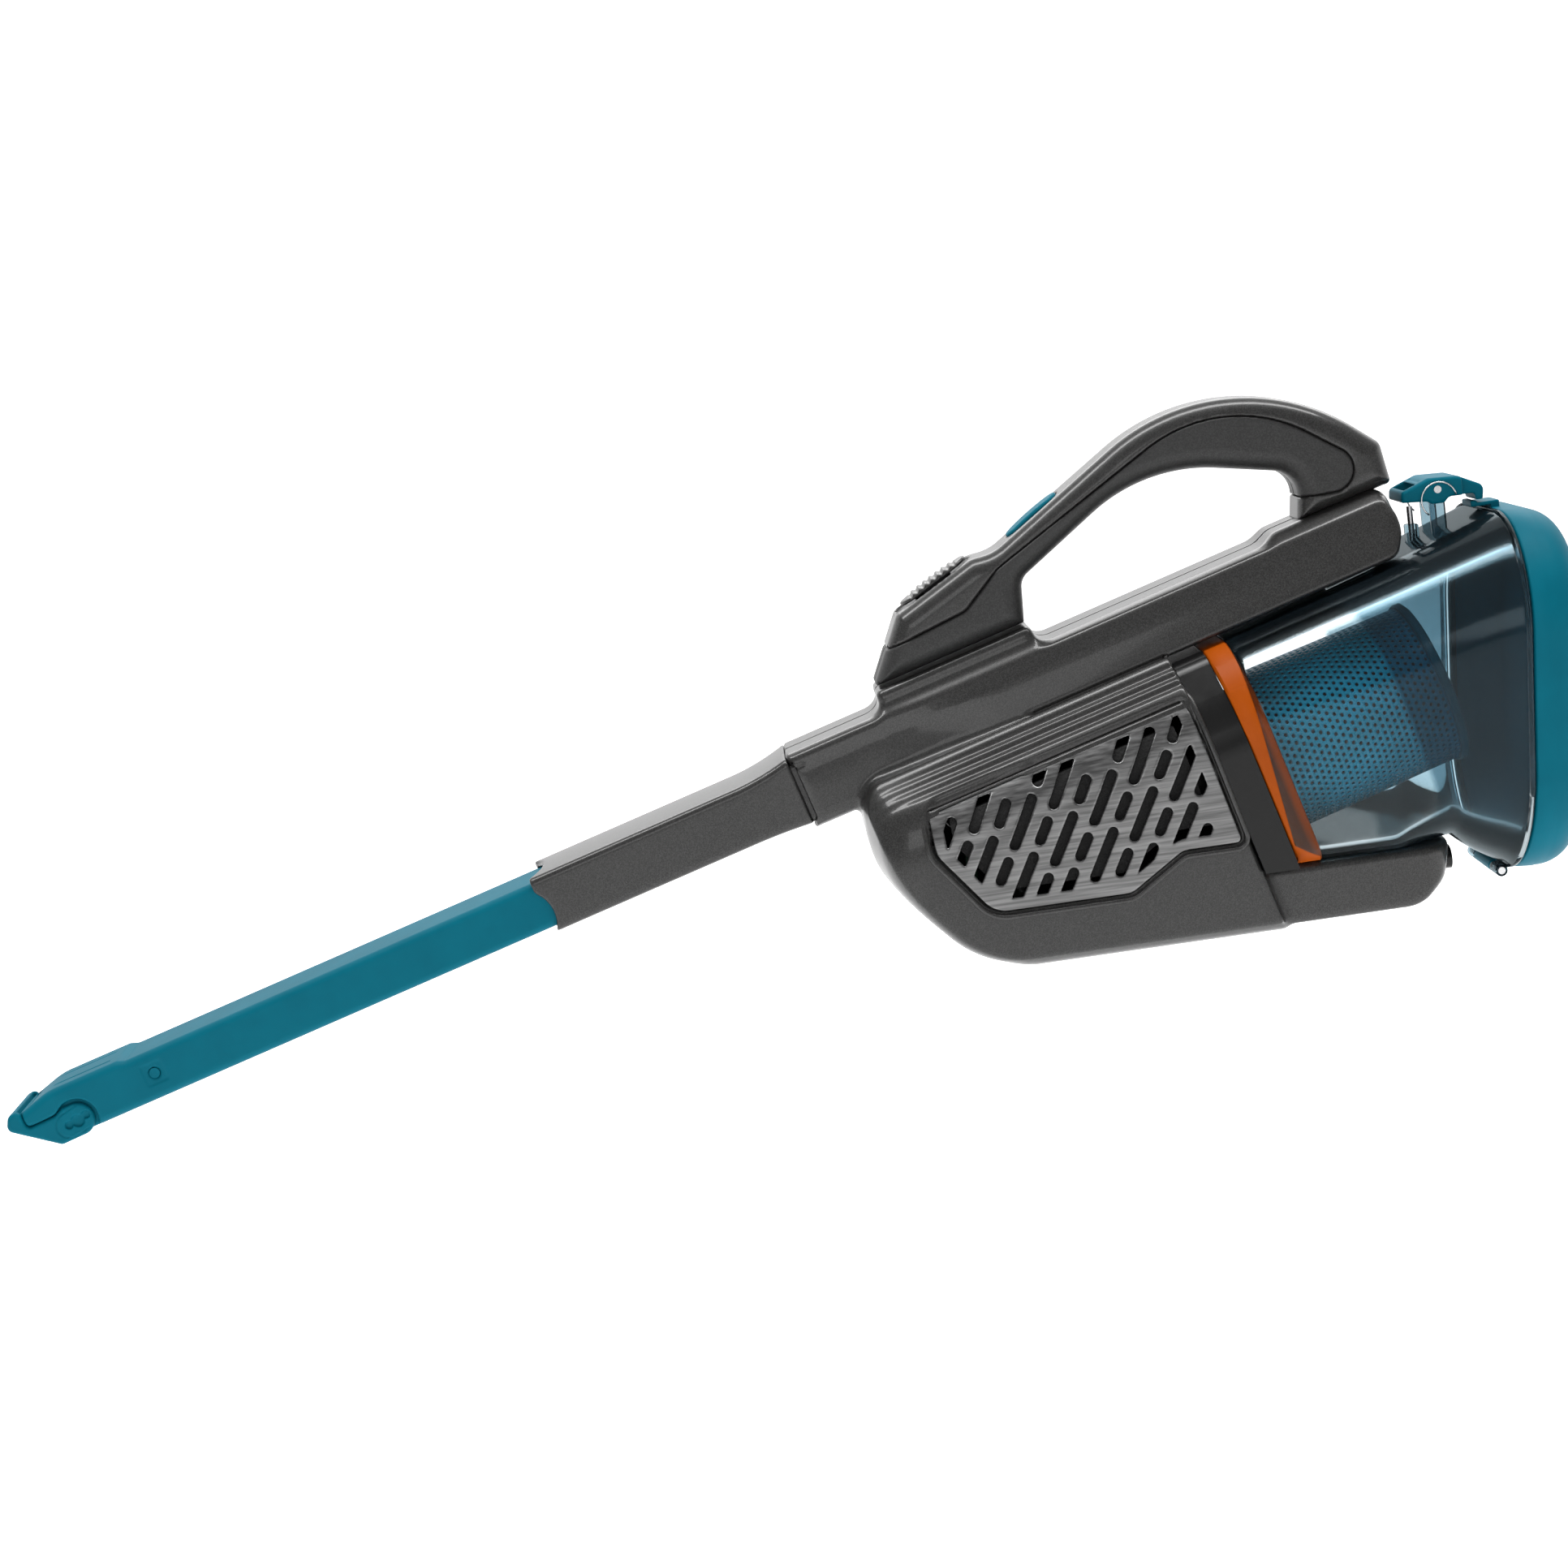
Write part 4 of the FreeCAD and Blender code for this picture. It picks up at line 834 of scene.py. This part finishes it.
def handle_cover_shape(x, y, z):
    """The handle's upper shell, with a lip under the grips and seats for the slider and the boost key."""
    outer = handle_outer(x, y, z)
    shell = without(outer, outer + HANDLE_WALL, 0.4)
    edge = GRIP(x, z)
    lip = np.maximum(slab(outer, -2.7, -1.5), slab(edge, -1.5, 1))
    part = np.minimum(both(shell, GRIP_GAP - edge, 0.55), lip)
    ux, uz = SWITCH.local(x, z)
    bx, bz = BOOST.local(x, z)
    slot = np.maximum(np.maximum(np.abs(ux + 1.2) - 8.6, np.abs(y) - 3), -(uz + 6))
    seat = np.maximum(stadium(ux + 1.6, y, 11, 8.2), -(uz + 0.9))
    hole = np.maximum(stadium(bx, y, 7.8, 5.9), -(bz + 8))
    for opening in (slot, seat, hole):
        part = without(part, opening, 0.5)
    return part


def grip_shape(x, y, z):
    outer = handle_outer(x, y, z)
    shell = without(outer, outer + HANDLE_WALL, 0.4)
    return both(both(shell, GRIP(x, z) + GRIP_GAP, 0.55), y + HALF_PARTING, 0.5)


net_piece("handle_top", handle_cover_shape, WORLD, (-122, -17, 120), (95, 17, 212), 0.85,
          "main_unit", grey_paint, ["handle_cover"])
for side, sign in SIDES.items():
    net_piece(f"grip_{side}_skin", grip_shape, WORLD, (-126, -17, 113), (88, 0.6, 206), 0.85,
              "main_unit", grip_paint, [f"grip_{side}"], sign > 0)

RIB_PITCH, RIB_HEIGHT, RIBBED = 3.1, 0.45, 11.5


def slider_shape(x, y, z):
    """The power slider: a crowned ribbed pad on a stem."""
    crown = 2.9 - 0.02 * y**2 - 0.0035 * x**2
    ribs = RIB_HEIGHT * np.cos(2 * math.pi * x / RIB_PITCH) * (np.abs(x) < RIBBED)
    pad = both(stadium(x, y, 9.3, 6.9), np.maximum(z - crown - ribs, 0.3 - z), 0.8)
    stem = np.maximum(np.maximum(np.abs(x) - 6, np.abs(y) - 2.6), np.abs(z + 1) - 2.6)
    return np.minimum(pad, stem)


net_piece("switch_slider", slider_shape, SWITCH, (-17, -8, -4), (17, 8, 4.2), 0.5,
          "switch", grey_paint, ["power_switch"])


def boost_shape(x, y, z):
    crown = 1.5 - 0.012 * y**2 - 0.004 * x**2
    return both(stadium(x, y, 7.6, 5.5), np.maximum(z - crown, -3 - z), 0.8)


net_piece("boost_key", boost_shape, BOOST, (-14, -6, -4), (14, 6, 3), 0.5,
          "boost", teal, ["boost_button"])

# ---------------------------------------------------------------- bowl, collar, ring and door

RING_POINTS = 128
BOWL_SPANS, BOWL_WALL = 32, 2.0
RIM_HALF_HEIGHT, RIM_HALF_WIDTH, RIM_RADIUS = 73, 65, 46


def ring(top, bottom, half_width, top_radius, bottom_radius):
    """A rounded section between a top and a bottom point of the side view."""
    top, bottom = Vector((top[0], 0, top[1])), Vector((bottom[0], 0, bottom[1]))
    height = (top - bottom).length
    up = (top - bottom) / height
    made = []
    corners = [
        (half_width - bottom_radius, bottom_radius, bottom_radius, -90),
        (half_width - top_radius, height - top_radius, top_radius, 0),
        (-half_width + top_radius, height - top_radius, top_radius, 90),
        (-half_width + bottom_radius, bottom_radius, bottom_radius, 180),
    ]
    per = RING_POINTS // 4
    for cy, ch, radius, start in corners:
        for k in range(per):
            angle = math.radians(start + 90 * k / (per - 1))
            spot = bottom + up * (ch + radius * math.sin(angle))
            made.append((spot.x, cy + radius * math.cos(angle), spot.z))
    return made


def mix(a, b, t):
    return a + (b - a) * t


def bowl_stations():
    """Top, bottom, half-width and corner radii of the bowl from its front to its rim."""
    made = []
    for i in range(BOWL_SPANS + 1):
        t = i / BOWL_SPANS
        flare = max(0, (t - 0.5) / 0.5) ** 2.2
        tx, tz = MOTOR.world(13 + 112.5 * t, mix(55, 56.6, t) + 1.6 * flare)
        rim_x, rim_z = RIM.world(-1.2, 72.6)
        top = (mix(tx, rim_x, flare), mix(tz, rim_z, flare))
        low_x = mix(31.5, 121.4, t)
        low_z = 25.2 - 19.2 * max(0, (low_x - 97) / 25) ** 0.8
        width = mix(56.8, 59.5, t) + 5.3 * flare
        low_radius = mix(12, 44, min(1, max(0, (t - 0.45) / 0.5)))
        made.append((top, (low_x, low_z), width, mix(34, RIM_RADIUS, t), low_radius))
    return made


def shrink(station, depth):
    """A station of the bowl moved inwards."""
    (tx, tz), (bx, bz), width, rt, rb = station
    return (tx, tz - depth), (bx, bz + depth), width - depth, max(rt - depth, 2), max(rb - depth, 2)


def rim_ring(x, depth, radius):
    """A ring across the rim's axis, inset from the rim's outline."""
    half = RIM_HALF_HEIGHT - depth
    return ring(RIM.world(x, half), RIM.world(x, -half), RIM_HALF_WIDTH - depth, radius, radius)


stations = bowl_stations()
outer_rings = [ring(*s) for s in stations]
flange = [rim_ring(-2.4, 0, RIM_RADIUS), rim_ring(-0.3, 0, RIM_RADIUS), rim_ring(-0.3, 2.4, RIM_RADIUS - 2)]
inner_rings = [ring(*shrink(s, BOWL_WALL)) for s in stations][::-1]
bowl_mesh = loft_mesh("bowl_wall", outer_rings + flange + inner_rings, close_loop=True)
inlet = [MOTOR.point(x, y, z) for x in (61.5, 80) for y in (-14, 14) for z in (45, 70)]
bowl_mesh = carve(bowl_mesh, mesh_from("inlet_cutter", inlet, BOX_FACES))
piece("bowl_wall", bowl_mesh, "bowl", smoke, ["dust_bowl"])

FRONT_TOP, FRONT_LOW, FRONT_HALF_WIDTH = 54.8, 24.95, 56.7  # the first in MOTOR's z, the second in the world's


def front_ring(x, depth):
    """The bowl's front outline at a distance along the motor's axis, standing on the base, inset."""
    low = (FRONT_LOW + depth * 0.3 - MOTOR.z - x * MOTOR.s) / MOTOR.c
    top = MOTOR.world(x, FRONT_TOP - depth)
    return ring(top, MOTOR.world(x, low), FRONT_HALF_WIDTH - depth, 34 - depth * 0.5, 12)


def band(name, start, length, wall):
    """A hollow band with softened edges around the bowl's front."""
    soft, end = 0.8, start + length
    section = [(start, soft), (start + soft, 0), (end - soft, 0), (end, soft), (end, wall), (start, wall)]
    return loft_mesh(name, [front_ring(x, depth) for x, depth in section], close_loop=True)


piece("seal_ring", sharpen(band("seal_ring", 2.9, 10, 4.2), 50), "bowl", orange, ["bowl_seal"])


BEND_STEPS, CROWN_STEPS = 15, 8


def door_section():
    """Places along the rim's axis, with insets, from the door's lip over its dished crown and back inside."""
    outside = [(0.7, 0.8), (1.4, 0.1), (7.5, 0.0), (9, 0.25)]
    for k in range(1, BEND_STEPS):
        a = math.pi / 2 * k / BEND_STEPS
        outside.append((9 + 14.5 * math.sin(a), 0.25 + 13.5 * (1 - math.cos(a))))
    for k in range(CROWN_STEPS):
        t = k / CROWN_STEPS
        outside.append((23.6 + 3.6 * math.sin(math.pi / 2 * t), 13.5 + 50 * t))
    inside = [(x - 2.4, depth + 1.2) for x, depth in outside[::-1] if x > 3.5]
    return outside + inside + [(0.7, 2.8)]


def door_ring(x, depth):
    return rim_ring(x, depth, min(max(RIM_RADIUS - depth * 0.75, 5), 64 - depth))


door = loft_mesh("door_dome", [door_ring(*p) for p in door_section()], close_loop=True)
piece("door_dome", sharpen(door, 50), "door", teal, ["bowl_door"])

PIN = (111.5, 161.6)
HINGE_IN_RIM = (-2.2, -74.8)
HINGE = RIM.world(*HINGE_IN_RIM)
PIN_HOLE = 1.52


def fittings_shape(x, y, z):
    """What stands on the bowl: the latch's two ears, its stop and the hinge knuckles."""
    flat = np.abs(y)
    foot = np.maximum(slab(x, 108.4, 114.6), slab(z, 142, 161.6))
    ears = both(either(foot, disc(x, z, *PIN, 2.9), 1), slab(flat, 6, 8.8), 0.5)
    ears = np.maximum(ears, -disc(x, z, *PIN, PIN_HOLE))
    stop = both(slab(x, 99.5, 104.5), np.maximum(flat - 3, slab(z, 138, 148)), 0.8)
    knuckle = both(disc(x, z, *HINGE, 2.5), slab(flat, 12, 22), 0.4)
    knuckle = np.maximum(knuckle, -disc(x, z, *HINGE, PIN_HOLE))
    return np.minimum(np.minimum(ears, stop), knuckle)


def door_parts_shape(x, y, z):
    """The door's catch tongue on top and its hinge knuckle below."""
    flat = np.abs(y)
    root = np.maximum(slab(x, 133.4, 137), slab(z, 149, 153.6))
    tongue = np.maximum(slab(x, 125.5, 134.5), slab(z, 152, 153.6))
    tooth = np.maximum(slab(x, 125.5, 128), slab(z, 153, 154.4))
    catch = both(np.minimum(np.minimum(root, tongue), tooth), flat - 7, 0.4)
    rx, rz = RIM.local(x, z)
    web = np.maximum(slab(rx, -2.2, 4), slab(rz, -75.6, -73.4))
    foot = np.maximum(slab(rx, 0.8, 4), slab(rz, -74, -71.5))
    eye = disc(rx, rz, *HINGE_IN_RIM, 2.5)
    knuckle = both(np.minimum(np.minimum(eye, web), foot), flat - 11.5, 0.4)
    knuckle = np.maximum(knuckle, -disc(rx, rz, *HINGE_IN_RIM, 1.55))
    return np.minimum(catch, knuckle)


for label, low, high in (
    ("catch", (125, -8, 148), (138, 8, 155)),
    ("knuckle", (116, -12.5, 0), (130, 12.5, 10)),
):
    net_piece(f"door_{label}", door_parts_shape, WORLD, low, high, 0.55, "door", teal)

for label, low, high in (("top", (98, -10, 137), (116, 10, 166)), ("foot", (115, -23, -1), (126, 23, 8))):
    net_piece(f"bowl_fittings_{label}", fittings_shape, WORLD, low, high, 0.6, "bowl", smoke)

LEVER = Outline(
    [(96.5, 158, 1), (107, 157.2, 3), (109, 155.8, 2), (114, 155.8, 2), (116, 158, 3), (127, 157.8, 1),
     (127.6, 154.9, 0.5), (130.4, 154.9, 1), (131, 160.5, 3), (120, 166, 6), (108, 166.6, 4), (97, 162.4, 2)]
)


def lever_shape(x, y, z):
    """The latch's lever: hollow beneath, ribbed on its thumb end, an ear on each side at the pin."""
    flat = np.abs(y)
    block = both(LEVER(x, z), flat - 11.5, 1.4)
    from_end = x - 97.5
    grooves = np.hypot(from_end % 3 - 1.5, z - 163.2 - 0.35 * from_end) - 0.8
    grooves = np.maximum(grooves, np.abs(x - 102) - 4.5)
    block = without(block, np.maximum(grooves, flat - 8), 0.3)
    room = np.maximum(np.maximum(slab(x, 98.5, 121), flat - 9.3), z - 164.4)
    neck = np.maximum(121.5 - x, 8 - flat)
    lever = without(without(block, room, 0.4), neck, 0.4)
    return np.maximum(lever, -disc(x, z, *PIN, 1.5))


WIRE_Y, WIRE_BEND, WIRE_DROP, WIRE_FOOT, WIRE_RADIUS = 12.1, 7.2, 4.2, 150.5, 0.35


def wire_path(sign):
    """The spring's arm beside the lever: an arc that ends on the bowl."""
    made = []
    for k in range(19):
        angle = math.radians(10 + 12.2 * k)
        x, z = PIN[0] + WIRE_BEND * math.cos(angle), PIN[1] - WIRE_DROP + WIRE_BEND * math.sin(angle)
        made.append((x, sign * WIRE_Y, max(z, WIRE_FOOT)))
    return made


for side, sign in SIDES.items():
    wire = tube_mesh(f"latch_wire_{side}", wire_path(sign), WIRE_RADIUS)
    piece(f"latch_wire_{side}", wire, "bowl", zinc)

net_piece("latch_lever", lever_shape, WORLD, (96, -12, 154), (132, 12, 167), 0.55,
          "latch", teal, ["door_latch"])

# ---------------------------------------------------------------- filter

SCREEN_FRONT, SCREEN_BACK = 13.6, 85.0  # along the motor's axis
FRONT_RADIUS, BACK_RADIUS = 34.6, 33.4
HOLES_AROUND, HOLE_ROWS, HOLE_RADIUS = 70, 27, 0.29  # the radius in cells
HOLE_SIDES = 8
CORNER_GRID = 840  # corners of neighbouring cells that round to one place share a vertex


def screen_mesh():
    """The perforated tube: each cell of its staggered grid is a square with a round hole."""
    verts, faces, index = [], [], {}
    circle = [(math.cos(a), math.sin(a)) for a in (2 * math.pi / HOLE_SIDES * k for k in range(HOLE_SIDES))]
    square = [(0.5 * dx / max(abs(dx), abs(dy)), 0.5 * dy / max(abs(dx), abs(dy))) for dx, dy in circle]

    def spot(u, v):
        key = (round(u * CORNER_GRID) % (HOLES_AROUND * CORNER_GRID), round(v * CORNER_GRID))
        if key not in index:
            angle, t = 2 * math.pi * u / HOLES_AROUND, v / HOLE_ROWS
            radius = mix(FRONT_RADIUS, BACK_RADIUS, t)
            index[key] = len(verts)
            x = mix(SCREEN_FRONT, SCREEN_BACK, t)
            verts.append(tuple(MOTOR.point(x, radius * math.cos(angle), radius * math.sin(angle))))
        return index[key]

    for i in range(HOLES_AROUND):
        for j in range(HOLE_ROWS):
            u, v = i + 0.5 * (j % 2) + 0.5, j + 0.5
            outer = [spot(u + dx, v + dy) for dx, dy in square]
            inner = [spot(u + HOLE_RADIUS * dx, v + HOLE_RADIUS * dy) for dx, dy in circle]
            for k in range(HOLE_SIDES):
                n = (k + 1) % HOLE_SIDES
                faces.append((outer[k], outer[n], inner[n], inner[k]))
    return mesh_from("screen_wall", verts, faces)


screen = piece("screen_wall", screen_mesh(), "main_unit", screen_teal, ["prefilter_screen"])
thick = screen.modifiers.new("thickness", "SOLIDIFY")
thick.thickness = 0.9 * MM
thick.offset = -1


def turned_mesh(name, place, section, sides=96):
    """A turned piece about a place's x axis, from (x, radius) points."""
    turns = [2 * math.pi * k / sides for k in range(sides)]
    rings = [[tuple(place.point(x, r * math.cos(a), r * math.sin(a))) for a in turns] for x, r in section]
    return sharpen(loft_mesh(name, rings, (True, True)), 35)


CAP = [(85.1, 33.2), (85.1, 34.4), (86, 34.9), (88, 34.6), (89, 33), (89.4, 20), (91, 10), (91.1, 1)]
piece("screen_cap", turned_mesh("screen_cap", MOTOR, CAP), "main_unit", teal, ["filter_end_cap"])

# ---------------------------------------------------------------- finishes of the CAD nodes that stay

FINISHES = (
    (zinc, "housing_screws cover_screws motor_can motor_shaft motor_rotor release_spring latch_pin"),
    (zinc, "latch_spring latch_stop_pin flap_pin door_hinge_pin"),
    (black, "base_cover battery_tray switch_module motor_mount fan_shroud filter_housing impeller"),
    (black, "bowl_release_button"),
    (rubber, "rubber_feet flap_valve door_seal"),
    (foam, "exhaust_foam_left exhaust_foam_right"),
    (duct_plastic, "front_air_duct rear_air_duct"),
    (teal, "detent_button_left detent_button_right"),
    (brass, "charging_contacts"),
    (wrap, "battery_cells"),
    (circuit, "control_board"),
    # the pleated filter takes the near-black cloth: painted shade behind the screen's holes
    (filter_cloth, "pleated_filter"),
    (bristle, "brush_bristles"),
)
for finish, names in FINISHES:
    for name in names.split():
        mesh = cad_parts[name].data
        mesh.materials.clear()
        mesh.materials.append(finish)

# ---------------------------------------------------------------- camera, light and floor

CAMERA_PLACE = (-0.1665, -1.1217, 0.2761)
CAMERA_RISE, CAMERA_ROLL = math.radians(10.0), math.radians(8.2)
camera_data = bpy.data.cameras.new("camera")
camera_data.sensor_width = 36
camera_data.lens = 63.35
camera_data.clip_end = 50
camera = new_object("camera", camera_data)
flat_right = Vector((1, 0, 0))
flat_up = Vector((0, math.sin(CAMERA_RISE), math.cos(CAMERA_RISE)))
back_axis = Vector((0, -math.cos(CAMERA_RISE), math.sin(CAMERA_RISE)))
right_axis = flat_right * math.cos(CAMERA_ROLL) - flat_up * math.sin(CAMERA_ROLL)
up_axis = flat_right * math.sin(CAMERA_ROLL) + flat_up * math.cos(CAMERA_ROLL)
turn = Matrix((right_axis, up_axis, back_axis)).transposed()
camera.matrix_world = Matrix.Translation(CAMERA_PLACE) @ turn.to_4x4()
bpy.context.scene.camera = camera

FLOOR_Z, FLOOR_REACH = -0.155, 60.0  # the floor lies below the open door
BEND_START, BEND_RADIUS, BEND_PARTS, WALL_TOP = 3.0, 2.0, 24, 8.0
sweep = [(-FLOOR_REACH, FLOOR_Z)]
for k in range(BEND_PARTS + 1):
    a = math.pi / 2 * k / BEND_PARTS
    sweep.append((BEND_START + BEND_RADIUS * math.sin(a), FLOOR_Z + BEND_RADIUS * (1 - math.cos(a))))
sweep.append((BEND_START + BEND_RADIUS, WALL_TOP))
floor_mesh = bpy.data.meshes.new("floor")
floor_mesh.from_pydata(
    [(x, y, z) for y, z in sweep for x in (-FLOOR_REACH, FLOOR_REACH)],
    [],
    [(2 * i, 2 * i + 1, 2 * i + 3, 2 * i + 2) for i in range(len(sweep) - 1)],
)
floor_mesh.shade_smooth()
floor = new_object("floor", floor_mesh)
floor_white = material("floor_white", (0.86, 0.86, 0.86), 0.9, emission_strength=0.62)
floor_white.node_tree.nodes["Principled BSDF"].inputs["Emission Color"].default_value = (1, 1, 1, 1)
floor_mesh.materials.append(floor_white)


def area_light(name, place, aim, width, height, power):
    data = bpy.data.lights.new(name, "AREA")
    data.shape = "RECTANGLE"
    data.size, data.size_y = width, height
    data.energy = power
    lamp = new_object(name, data)
    lamp.location = place
    lamp.rotation_euler = (Vector(aim) - Vector(place)).to_track_quat("-Z", "Y").to_euler()


area_light("overhead", (-0.1, 0.0, 1.5), (-0.1, 0, 0), 2.4, 0.3, 32)
area_light("front_fill", (-0.7, -2.4, 0.8), (-0.1, 0, 0.05), 1.4, 0.8, 8)
area_light("back_rim", (0.2, 1.6, 1.1), (0, 0, 0.1), 2.2, 0.5, 12)
bpy.context.scene.view_settings.view_transform = "Standard"

world = bpy.data.worlds.new("studio")
world.use_nodes = True
bpy.context.scene.world = world
world.node_tree.nodes["Background"].inputs["Color"].default_value = (1, 1, 1, 1)
world.node_tree.nodes["Background"].inputs["Strength"].default_value = 0.42
